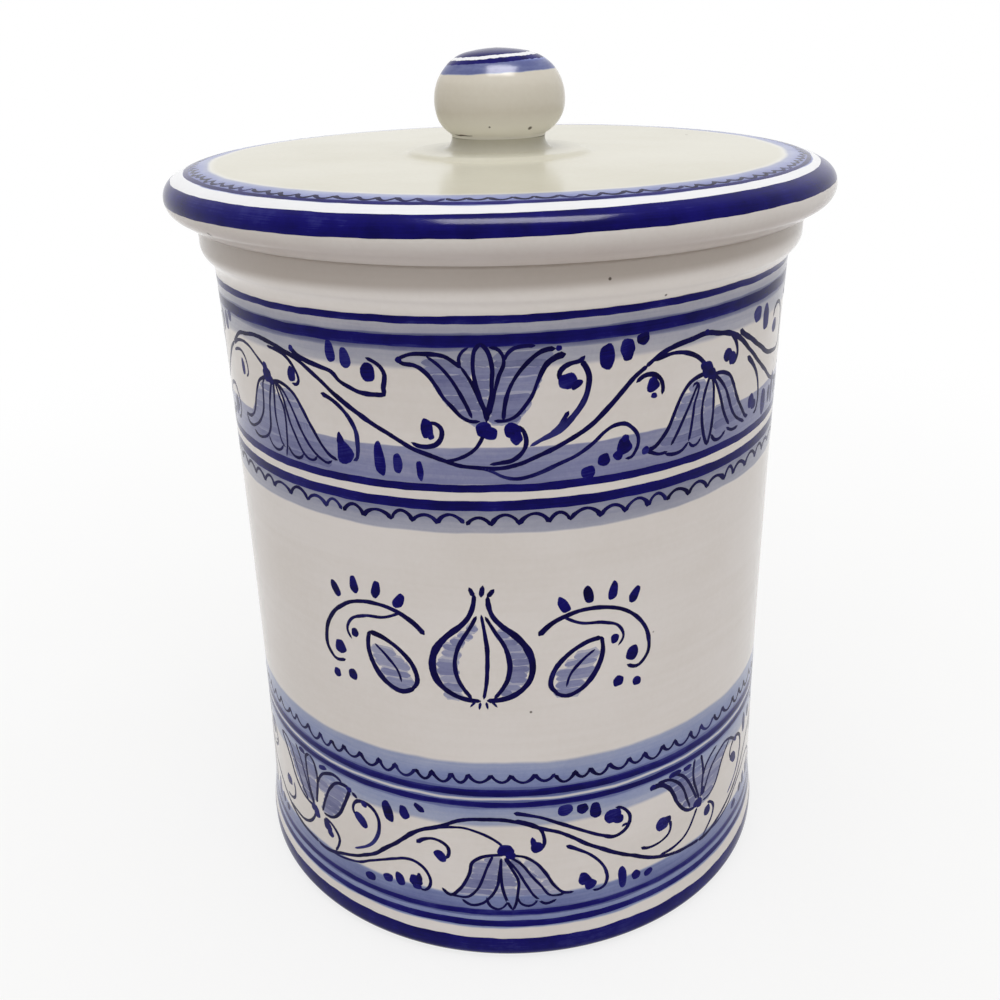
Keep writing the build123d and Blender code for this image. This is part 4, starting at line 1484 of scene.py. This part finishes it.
LOWER_LOTUS = dict(
    home=LOWER_STRETCHES[0],
    vine=(
        ((0.9, 0.7, 0.65, 0.7, 0.8), 0.95, (
            (26.8, 21.1), (28.4, 20.3), (30.5, 20.2), (32.5, 20.6), (33.9, 21.4), (34.4, 22.8),
            (34.1, 24.4))),
        ((0.7, 0.75, 0.65), 0.95, (
            (42.4, 23.3), (41.3, 21.2), (40.1, 19.5), (38.4, 18.1), (36.3, 17.3), (34, 17), (31.6, 17.0))),
        ((0.7, 0.75, 0.7, 0.5), 0.9, (
            (46.2, 22.6), (47.7, 21.7), (48.7, 20.1), (48.3, 18.1), (46.4, 16.0), (44.8, 14.9))),
    ),
    flower=(
        ((1.2, 0.9, 0.85, 0.8, 0.75), 1.0, (
            (29, 34.3), (31.6, 34.1), (33.4, 32.8), (35.1, 30.1), (36.3, 27.6), (37.8, 25.6),
            (39.5, 24.3), (41.9, 23.9))),
        ((0.8, 0.7, 0.65), 1.0, (
            (30.5, 34.8), (33.7, 34.4), (36, 32.8), (37.8, 30.3), (38.9, 27.6), (40.1, 24.7))),
        ((0.7, 0.75, 0.65), 0.98, ((33.8, 35.6), (37.2, 33.9), (39.2, 31.4), (40.7, 28.7), (42.1, 25.7))),
        ((0.7, 0.7, 0.75), 1.0, ((41, 35.9), (40.7, 33.1), (41.1, 30.3), (42.1, 27.6), (43, 25.3))),
        ((0.7, 0.7, 0.75), 1.0, ((43, 35.9), (43.8, 33.1), (44, 30.3), (43.8, 27.6), (43.6, 25.3))),
        ((0.6, 0.65, 0.6), 0.95, ((44.1, 30.3), (45.1, 32.6), (46.5, 33.9), (48.8, 35.1))),
        ((0.6, 0.7, 0.75, 0.7), 0.95, (
            (44.3, 25.7), (45.4, 28.1), (46.8, 30.6), (48.6, 32.3), (50.6, 33.4), (52.7, 33.9),
            (55, 33.3), (56.8, 32.3), (57.7, 31.6))),
        ((0.6, 0.7, 0.7), 0.95, (
            (44.3, 24.1), (46.8, 24.2), (48.6, 25.3), (50, 27.4), (51.5, 30.1), (53.2, 32), (54.7, 33.2))),
    ),
    dabs=(
        (29.4, 34.4, 1.5, 1.4, 20, 0.0), (32.1, 24.5, 3.3, 3.4, 8, 0.0), (33.3, 24.9, 2.4, 2.2, 0, 0.0),
        (42.6, 24.5, 3.0, 2.3, -10, 0.1), (43.2, 24.0, 2.0, 2.0, 0, 0.0), (44.2, 26.6, 1.5, 2.2, 12, 0.0),
        (46.2, 20.5, 2.3, 2.8, 10, 0.0), (35.2, 35.2, 3.4, 1.5, 0, 0.0), (38.8, 35.0, 2.6, 1.3, 0, 0.0),
    ),
    fills=(
        (((40.4, 24.6), (37.8, 26.2), (36.2, 28.8), (34.8, 31.4), (33.0, 33.4)),
         ((42.0, 24.6), (41.6, 27.5), (40.9, 30.2), (40.7, 32.4), (40.8, 34.8)), 34.6, 25.2, 0.86),
        (((42.6, 25.2), (41.6, 28.0), (40.9, 31.0), (40.8, 34.8)),
         ((43.2, 25.2), (43.8, 28.0), (44.0, 31.0), (43.2, 34.8)), 34.8, 26.6, 0.76),
        (((43.8, 25.0), (44.0, 28.0), (44.2, 31.2), (45.8, 33.6)),
         ((47.4, 25.0), (50.2, 28.0), (51.8, 30.8), (53.2, 32.9)), 33.4, 24.8, 0.70),
    ),
)

LOWER_FULL_LOTUS = dict(
    home=LOWER_LEFT_STRETCH,
    vine=(
        ((0.7, 0.8, 0.8, 0.65), 0.95, (
            (-46.9, 21.6), (-47.9, 19.8), (-49.7, 18.1), (-51.7, 17.1), (-54.7, 16.9), (-58.6, 17.2))),
        ((0.7, 0.8, 0.75, 0.6), 0.95, (
            (-43.5, 22.4), (-41.5, 22), (-40.1, 20.9), (-39.2, 19.2), (-39.6, 17.6), (-40.7, 15.6))),
        ((0.7, 0.7, 0.6), 0.85, (
            (-56.2, 23.9), (-55.7, 22), (-56.1, 20.3), (-57.8, 19.1), (-60.5, 18.9))),
    ),
    flower=(
        ((0.9, 0.75, 0.75, 0.7), 0.9, (
            (-61.0, 34.3), (-58.7, 32.2), (-56.4, 29.5), (-55.2, 27.3), (-53.5, 25.3), (-51.4, 23.9),
            (-49.1, 23.4), (-47.2, 23.4))),
        ((0.7, 0.65, 0.65), 0.9, (
            (-60.8, 34.4), (-58.2, 34.5), (-55.8, 33.4), (-54.4, 31.2), (-52.6, 28.1), (-50.9, 25.3),
            (-49.4, 23.7))),
        ((0.65, 0.7, 0.7), 0.95, (
            (-53.2, 35.4), (-51.4, 32.6), (-50.3, 30.1), (-49.1, 27.6), (-47.9, 24.8), (-47.1, 23.4))),
        ((0.7, 0.75, 0.75), 1.0, (
            (-47.6, 35.7), (-48.9, 34.9), (-49.1, 32.6), (-48.9, 29.8), (-48.2, 27), (-47.1, 24.2))),
        ((0.7, 0.75, 0.75), 1.0, (
            (-47.6, 35.7), (-46.3, 34.9), (-45.4, 32.8), (-45.2, 30.3), (-45.6, 27.6), (-46.2, 24.8))),
        ((0.65, 0.75, 0.7), 0.98, (
            (-45, 30.1), (-44.4, 31.7), (-43.3, 33.1), (-41.5, 34.2), (-39.5, 34.8), (-37.2, 34.1))),
        ((0.7, 0.75, 0.8, 0.9), 1.0, (
            (-44.1, 23.7), (-43.3, 26.2), (-42.1, 28.9), (-40.6, 31.4), (-38.9, 33.1), (-36.8, 33.7),
            (-35.1, 33.4))),
        ((0.7, 0.75, 0.8, 0.9), 1.0, (
            (-43.8, 23.4), (-41.5, 23.6), (-39.8, 24.5), (-38.3, 26.4), (-37.1, 28.7), (-36, 30.9),
            (-35.1, 32.9))),
        ((0.9, 0.6), 0.95, ((-34.5, 32.9), (-33.1, 32.0))),
    ),
    dabs=(
        (-46.9, 22.8, 2.8, 2.3, -15, 0.1), (-46.3, 21.9, 2.2, 2.2, 15, 0.0),
        (-42.8, 20.9, 2.5, 3.1, 20, 0.1), (-42.0, 19.4, 2.0, 2.3, 25, 0.0),
        (-58.7, 23.2, 3.0, 2.6, 5, 0.0), (-35.3, 33.2, 1.6, 1.4, 20, 0.0),
        (-43.0, 34.9, 2.6, 1.3, 20, 0.0), (-50.6, 35.2, 2.4, 1.4, 0, 0.0),
    ),
    fills=(
        (((-48.0, 24.0), (-51.6, 25.2), (-53.9, 27.6), (-55.6, 30.2), (-57.6, 33.2)),
         ((-47.0, 24.0), (-48.2, 27.4), (-49.0, 30.2), (-49.1, 32.6), (-48.8, 34.6)), 34.4, 24.2, 0.86),
        (((-47.0, 25.0), (-48.2, 27.4), (-49.0, 31.0), (-48.8, 34.8)),
         ((-46.2, 25.0), (-45.6, 28.0), (-45.3, 31.0), (-46.0, 34.8)), 35.0, 25.6, 0.78),
        (((-44.4, 24.0), (-43.4, 26.8), (-42.2, 29.4), (-40.6, 31.8)),
         ((-41.2, 24.0), (-38.6, 26.8), (-37.2, 29.4), (-36.0, 32.2)), 32.8, 24.2, 0.82),
        (((-45.0, 30.4), (-44.0, 32.6), (-42.6, 34.0)),
         ((-42.0, 30.4), (-40.2, 32.6), (-38.4, 34.2)), 34.2, 30.2, 0.66),
    ),
)

# Each group with the stretches that it is drawn on.
UPPER_PLAN = (
    (UPPER_LOTUS, UPPER_STRETCHES),
    (UPPER_BELL, UPPER_STRETCHES[0::2]),
    (UPPER_WIDE_BELL, UPPER_STRETCHES[1::2]),
)
LOWER_PLAN = (
    (LOWER_BELL, LOWER_STRETCHES),
    (LOWER_LOTUS, LOWER_STRETCHES[0::2]),
    (LOWER_FULL_LOTUS, (LOWER_LEFT_STRETCH, LOWER_STRETCHES[1])),
)

# The hand keeps to the pattern between two angles, and strays in full this far beyond them.
CALM_FROM, CALM_TO = -66.0, 66.0
CALM_FADE = 20.0

# How much wider a line of the bands comes out than its widths say.
PRESS = 1.16

# The thin fills: how tall a stroke is, its step and bluntness, and the extra lift of every second one.
FILL_TALL = 1.75
FILL_STEP = 0.7
FILL_BLUNT = 0.22
FILL_EXTRA_LIFT = 0.0025


def drift(angle, height):
    """How far the hand strays from the pattern behind the pot: slow waves, held still at the front."""
    a = np.radians(angle)
    turned = (np.asarray(angle) + 180.0) % WHOLE_TURN - 180.0
    beyond = np.maximum(CALM_FROM - turned, turned - CALM_TO)
    free = np.clip(beyond / CALM_FADE, 0, 1)
    aside = 0.55 * np.sin(7 * a + height / 5.0) + 0.35 * np.sin(17 * a - height / 3.0 + 1.0)
    rise = 0.40 * np.sin(9 * a + height / 7.0 + 2.0) + 0.22 * np.sin(21 * a + height / 2.5)
    return free * aside, free * rise


def repeated(points, home, stretch):
    """Points of the pattern moved from its home stretch to another one and stretched to fit it."""
    points = np.asarray(points, float)
    angle = stretch[0] + (points[:, 0] - home[0]) * stretch[1] / home[1]
    aside, rise = drift(angle, points[:, 1])
    return np.stack([angle * JAR_MM_PER_DEGREE + aside, points[:, 1] + rise], axis=1)


def fill_petal(pile, left, right, high, low, load, place):
    """Level strokes of thinned blue between two edges, over a wetter one that shows in the slits."""
    left, right = (np.array(sorted(edge, key=lambda p: p[1]), float) for edge in (left, right))
    level = high + FILL_TALL * 0.35
    number = 0
    while level > low + FILL_TALL / 4:
        level -= FILL_TALL * random.choice([0.62, 0.66, 0.72, 0.88])
        number += 1
        from_x = np.interp(level, left[:, 1], left[:, 0]) - random.uniform(-0.1, 0.5)
        to_x = np.interp(level, right[:, 1], right[:, 0]) + random.uniform(-0.1, 0.5)
        if to_x - from_x < 0.8:
            continue
        steps = max(3, int((to_x - from_x) / 1.6) + 1)
        x = np.linspace(from_x, to_x, steps)
        bow = 0.25 * np.sin(np.linspace(0, np.pi, steps)) * random.uniform(-1, 1)
        y = level + random.uniform(-0.12, 0.12) + bow + np.linspace(-0.1, 0.1, steps) * random.uniform(-1, 1)
        wide = FILL_TALL * random.uniform(0.84, 1.1)
        paint = load * random.uniform(0.82, 1.18)
        above = FILL_EXTRA_LIFT * (number % 2)
        row = place(np.stack([x, y], axis=1))
        wall.stroke(pile, row, FILL_TALL * 1.5, load * 0.55, LIFT_WET + above / 2, FILL_STEP, FILL_BLUNT)
        wall.stroke(pile, row, wide, paint, LIFT_FILL + above, FILL_STEP, FILL_BLUNT)


def flower_band(name, plan):
    """One painted band: its groups of vine, flowers, berries, dabs and thin fills at every stretch."""
    vines, lines, spots = Pile(), Pile(), Pile()
    for group, stretches in plan:
        for stretch in stretches:

            def place(points):
                """Points of this group on this stretch."""
                return repeated(points, group["home"], stretch)

            for width, load, points in group["vine"]:
                wall.stroke(vines, place(points), np.array(width) * PRESS, load)
            for width, load, points in group["flower"]:
                wall.stroke(lines, place(points), np.array(width) * PRESS, load)
            for angle, height, width, tall, turn, point in group["dabs"]:
                middle = place([(angle, height)])[0]
                wall.dab(spots, middle, (width, tall), turn, point, random.uniform(0.80, 1.08))
            for left, right, high, low, load in group["fills"]:
                fill_petal(petal_fills, left, right, high, low, load, place)
    vines.piece(f"{name}_vine", "jar", "jar_glaze", line_blue)
    lines.piece(f"{name}_flowers", "jar", "jar_glaze", line_blue)
    spots.piece(f"{name}_berries", "jar", "jar_glaze", dab_blue)


petal_fills = Pile()
flower_band("upper_band", UPPER_PLAN)
flower_band("lower_band", LOWER_PLAN)


# ---------------------------------------------------------------- the garlic drawing

GARLIC_MIDDLE = (-4.75, 69.2)

# Strokes in millimetres from the drawing's middle, as (width, load, points).
GARLIC_LINES = (
    ((0.9, 1.3, 1.5, 1.3, 1.0), 1.0, (
        (1.2, 11.5), (1.4, 9.5), (2.0, 7.6), (3.6, 5.6), (6.2, 3.2), (8.2, 0.2), (8.8, -3.0), (8.0, -6.0),
        (5.8, -8.2), (3.0, -9.3), (0.6, -9.5))),
    ((0.9, 1.3, 1.6, 1.4, 1.0), 1.0, (
        (-1.0, 11.8), (-1.3, 9.6), (-2.1, 7.4), (-3.8, 5.4), (-6.4, 3.0), (-8.4, 0.0), (-8.9, -3.2),
        (-8.0, -6.2), (-5.7, -8.3), (-2.9, -9.4), (-0.4, -9.6))),
    ((0.7, 1.0, 1.1, 0.8), 0.98, (
        (0.7, 7.6), (2.2, 4.8), (4.0, 1.6), (4.8, -2.0), (4.2, -5.6), (2.0, -9.0))),
    ((0.7, 1.0, 1.1, 0.8), 0.98, (
        (-0.7, 7.6), (-2.3, 4.6), (-4.1, 1.4), (-4.9, -2.2), (-4.2, -5.8), (-2.0, -9.1))),
    ((0.6, 0.9, 0.9, 0.6), 0.95, ((0.0, 7.9), (0.6, 4.2), (0.9, 0.4), (0.8, -4.0), (0.1, -9.2))),
    ((1.2, 0.9), 1.0, ((-1.1, 11.4), (-1.9, 13.2))),
    ((1.2, 0.9), 1.0, ((0.1, 11.3), (0.5, 13.6))),
    ((1.1, 0.8), 1.0, ((1.2, 11.2), (2.4, 12.9))),
    ((0.7, 0.4), 0.9, ((-1.4, -9.7), (-2.4, -11.0))),
    ((0.7, 0.4), 0.9, ((-0.5, -9.8), (-0.8, -11.4))),
    ((0.7, 0.4), 0.9, ((0.5, -9.8), (0.8, -11.3))),
    ((0.7, 0.4), 0.9, ((1.4, -9.6), (2.5, -10.9))),
    ((1.2, 1.1, 0.9), 1.0, (
        (21.2, 1.5), (17.4, 0.6), (14.2, -1.8), (12.3, -4.6), (12.0, -7.2), (13.4, -8.8))),
    ((0.9, 1.2, 1.3, 1.0), 1.0, (
        (21.2, 1.6), (21.4, -1.6), (20.2, -5.2), (17.6, -8.3), (14.6, -9.4), (12.6, -8.4))),
    ((0.6, 0.8, 0.5), 0.9, ((20.0, -0.8), (17.6, -2.6), (15.6, -5.0), (14.8, -7.6))),
    ((1.2, 1.1, 0.9), 1.0, (
        (-21.0, 1.9), (-17.6, 1.0), (-14.4, -1.2), (-12.4, -4.0), (-12.0, -6.9), (-13.2, -8.6))),
    ((0.9, 1.2, 1.3, 1.0), 1.0, (
        (-21.0, 2.0), (-21.4, -1.2), (-20.4, -4.9), (-17.9, -8.1), (-14.9, -9.3), (-12.5, -8.1))),
    ((0.6, 0.8, 0.5), 0.9, ((-20.0, -0.4), (-17.8, -2.4), (-15.8, -4.8), (-15.0, -7.4))),
    ((1.3, 1.0, 0.9, 1.0, 0.8), 1.0, (
        (9.9, 3.4), (12.2, 5.6), (16.0, 7.2), (20.6, 7.5), (25.0, 6.2), (28.6, 3.2), (30.6, -0.8),
        (30.4, -4.4), (28.4, -6.2), (26.2, -5.4))),
    ((1.3, 1.0, 0.9, 1.0, 0.8), 1.0, (
        (-10.1, 3.2), (-12.6, 5.7), (-16.4, 7.5), (-21.0, 7.9), (-25.4, 6.6), (-29.0, 3.6), (-31.0, -0.4),
        (-31.0, -4.2), (-29.2, -6.2), (-26.9, -5.6))),
    ((0.7, 0.8, 0.6), 0.9, (
        (14.2, 6.6), (17.4, 5.0), (21.4, 4.4), (24.4, 3.0), (25.4, 0.6), (24.4, -1.0))),
    ((0.7, 0.8, 0.6), 0.9, (
        (-14.6, 6.9), (-17.8, 5.4), (-21.8, 4.9), (-24.8, 3.4), (-25.9, 1.0), (-25.0, -0.7))),
)

GARLIC_DABS = (
    (27.3, -3.2, 2.6, 3.2, -12, 0.1), (-27.9, -3.2, 2.6, 3.2, 12, 0.1), (23.7, 0.6, 1.7, 2.0, 0, 0.0),
    (-24.2, 0.8, 1.7, 2.0, 0, 0.0), (14.2, 9.0, 1.9, 3.6, 32, 0.2), (18.6, 10.4, 1.9, 3.7, 14, 0.2),
    (23.2, 10.3, 1.9, 3.7, -10, 0.2), (27.4, 8.6, 1.9, 3.5, -30, 0.2), (-14.6, 9.3, 1.9, 3.6, -32, 0.2),
    (-19.0, 10.8, 1.9, 3.7, -14, 0.2), (-23.6, 10.8, 1.9, 3.7, 8, 0.2), (-27.9, 9.0, 1.9, 3.5, 30, 0.2),
    (24.6, -8.4, 2.2, 2.4, 0, 0.0), (28.4, -9.4, 1.9, 2.0, 0, 0.0), (-25.4, -8.4, 2.2, 2.4, 0, 0.0),
    (-29.2, -9.2, 1.9, 2.0, 0, 0.0),
)

GARLIC_FILLS = (
    (((-0.6, 7.0), (-3.0, 4.4), (-6.6, 1.6), (-8.2, -3.0), (-6.8, -7.0)),
     ((-0.2, 7.0), (-1.2, 4.4), (-3.6, 1.6), (-4.6, -3.0), (-3.6, -7.0)), 5.6, -8.2, 0.62),
    (((1.6, 5.4), (4.2, 1.6), (5.0, -2.0), (4.4, -6.0), (3.2, -8.2)),
     ((3.2, 5.4), (7.2, 1.6), (8.4, -2.0), (7.4, -6.0), (5.0, -8.2)), 5.0, -8.4, 0.74),
    (((16.4, -1.2), (13.2, -4.4), (12.8, -7.4)),
     ((20.6, -1.2), (20.2, -4.4), (17.6, -7.4)), -1.0, -8.6, 0.60),
    (((-20.6, -1.0), (-20.2, -4.2), (-17.8, -7.2)),
     ((-16.6, -1.0), (-13.4, -4.2), (-12.8, -7.2)), -0.8, -8.4, 0.60),
)


def garlic_drawing():
    """A bulb between two cloves, with a curling shoot and dabs on each side."""
    lines, spots = Pile(), Pile()
    middle = np.array(GARLIC_MIDDLE)
    for width, load, points in GARLIC_LINES:
        wall.stroke(lines, np.asarray(points, float) + middle, width, load)
    for x, y, width, tall, turn, point in GARLIC_DABS:
        wall.dab(spots, middle + (x, y), (width, tall), turn, point, random.uniform(0.9, 1.1))
    for left, right, high, low, load in GARLIC_FILLS:
        fill_petal(petal_fills, left, right, high, low, load, lambda points: points + middle)
    lines.piece("garlic_lines", "jar", "jar_glaze", line_blue)
    spots.piece("garlic_dabs", "jar", "jar_glaze", dab_blue)


garlic_drawing()
petal_fills.piece("petal_fills", "jar", "jar_glaze", petal_blue)


# ---------------------------------------------------------------- the hairline under the knob

# Points are (angle, height).
HAIRLINE = ((-60, 150.28), (-52, 150.20), (-44, 150.27), (-36, 150.17), (-30, 150.22))
HAIRLINE_WIDTHS = (0.12, 0.27, 0.32, 0.20, 0.10)


def joint_hairline():
    """A short dark line on the knob just above its joint with the lid, on the left front."""
    finish = material("joint_dark_line")
    spot = finish.place()
    grains = finish.noise(spot, (2.5, 2.5, 6.0), 3.0)
    colour = finish.mixed(grains, srgb(52, 40, 32), srgb(120, 104, 86))
    pile = Pile()
    spots = np.array(HAIRLINE) * (KNOB_MM_PER_DEGREE, 1.0)
    knob_side.stroke(pile, spots, HAIRLINE_WIDTHS, step=0.3)
    pile.piece("joint_hairline", "lid", "knob_glaze", finish.done(colour, 0.4))


joint_hairline()


# ---------------------------------------------------------------- floor, light and world

# TABLE_HALF and the ceiling window's place, aim and size are metres.
TABLE_HALF = 6.0
TABLE_NEAR, TABLE_FAR = 60.0, 420.0
TABLE_GLOW = 0.76
CEILING_PLACE = (0.09, -0.22, 1.16)
CEILING_AIM = (0.0, 0.0, 0.16)
CEILING_SIZE = (0.66, 0.50)
CEILING_POWER = 46.0
CEILING_COLOUR = (1.0, 0.99, 0.98)
DAY_BASE = 0.16
FRONT_GAIN = 1.00
FRONT_WAY = (0.05, -0.50, 0.865)
ABOVE_GAIN = 2.05
DAY_COLOUR = (1.0, 0.985, 0.965, 1.0)
SKY_COLOUR = (0.98, 0.99, 1.0, 1.0)
WHITE = (1, 1, 1, 1)


def backdrop_shown(finish):
    """One for the rays that show the white backdrop: the camera's, a gloss's and those through glass."""
    path = finish.node("ShaderNodeLightPath")
    return path[0].highest(path[6]).highest(path[3])


def make_floor():
    """A pale table: it takes the pot's shadow close by and fades to the white of the backdrop."""
    finish = material("pale_table")
    spot = finish.place()
    grain = finish.noise(spot, (0.02, 0.02, 0.02), 3.0)
    colour = finish.mixed(grain, srgb(218, 217, 215), srgb(211, 210, 207))
    reach = finish.vector("LENGTH", spot, {}, out=1)
    fade = reach.rise(TABLE_NEAR, TABLE_FAR, TABLE_GLOW, 1.0) * backdrop_shown(finish)
    matt = finish.node("ShaderNodeBsdfDiffuse", {}, {"Color": colour})[0]
    glow = finish.node("ShaderNodeEmission", {}, {"Color": WHITE, "Strength": 1.0})[0]
    surface = finish.node("ShaderNodeMixShader", {}, {0: fade, 1: matt, 2: glow})[0]
    finish.node("ShaderNodeOutputMaterial", {}, {"Surface": surface})
    corners = [(x * TABLE_HALF, y * TABLE_HALF, 0) for x, y in ((-1, -1), (1, -1), (1, 1), (-1, 1))]
    mesh = bpy.data.meshes.new("table")
    mesh.from_pydata(corners, [], [(0, 1, 2, 3)])
    mesh.materials.append(finish.owner)
    table = bpy.data.objects.new("table", mesh)
    bpy.context.scene.collection.objects.link(table)


def make_ceiling_window():
    """The soft rectangle overhead, turned to face its aim, that shows only in reflections."""
    data = bpy.data.lights.new("ceiling_window", "AREA")
    data.shape = "RECTANGLE"
    data.size, data.size_y = CEILING_SIZE
    data.energy = CEILING_POWER
    data.color = CEILING_COLOUR
    lamp = bpy.data.objects.new("ceiling_window", data)
    bpy.context.scene.collection.objects.link(lamp)
    away = np.array(CEILING_PLACE) - CEILING_AIM
    away /= np.linalg.norm(away)
    right = np.cross([0.0, 1.0, 0.0], away)
    right /= np.linalg.norm(right)
    up = np.cross(away, right)
    turned = Matrix([list(row) for row in np.stack([right, up, away], axis=1)]).to_4x4()
    turned.translation = CEILING_PLACE
    lamp.matrix_world = turned
    lamp.visible_diffuse = False


def make_world():
    """Soft daylight from the front and from overhead, and plain white behind the pot."""
    finish = Finish(bpy.data.worlds.new("daylight"))
    way = finish.node("ShaderNodeTexCoord")[0]
    above = finish.parts(way)[2].highest(0.0)
    front = finish.vector("DOT_PRODUCT", way, {1: FRONT_WAY}, out=1).highest(0.0)
    squared = front * front
    strength = DAY_BASE + squared * squared * front * FRONT_GAIN + above * above * above * ABOVE_GAIN
    colour = finish.mixed(above, DAY_COLOUR, SKY_COLOUR)
    day = finish.node("ShaderNodeBackground", {}, {"Color": colour, "Strength": strength})[0]
    white = finish.node("ShaderNodeBackground", {}, {"Color": WHITE, "Strength": 1.0})[0]
    surface = finish.node("ShaderNodeMixShader", {}, {0: backdrop_shown(finish), 1: day, 2: white})[0]
    finish.node("ShaderNodeOutputWorld", {}, {"Surface": surface})
    bpy.context.scene.world = finish.owner


make_floor()
make_ceiling_window()
make_world()

bpy.context.scene.view_settings.view_transform = "Standard"
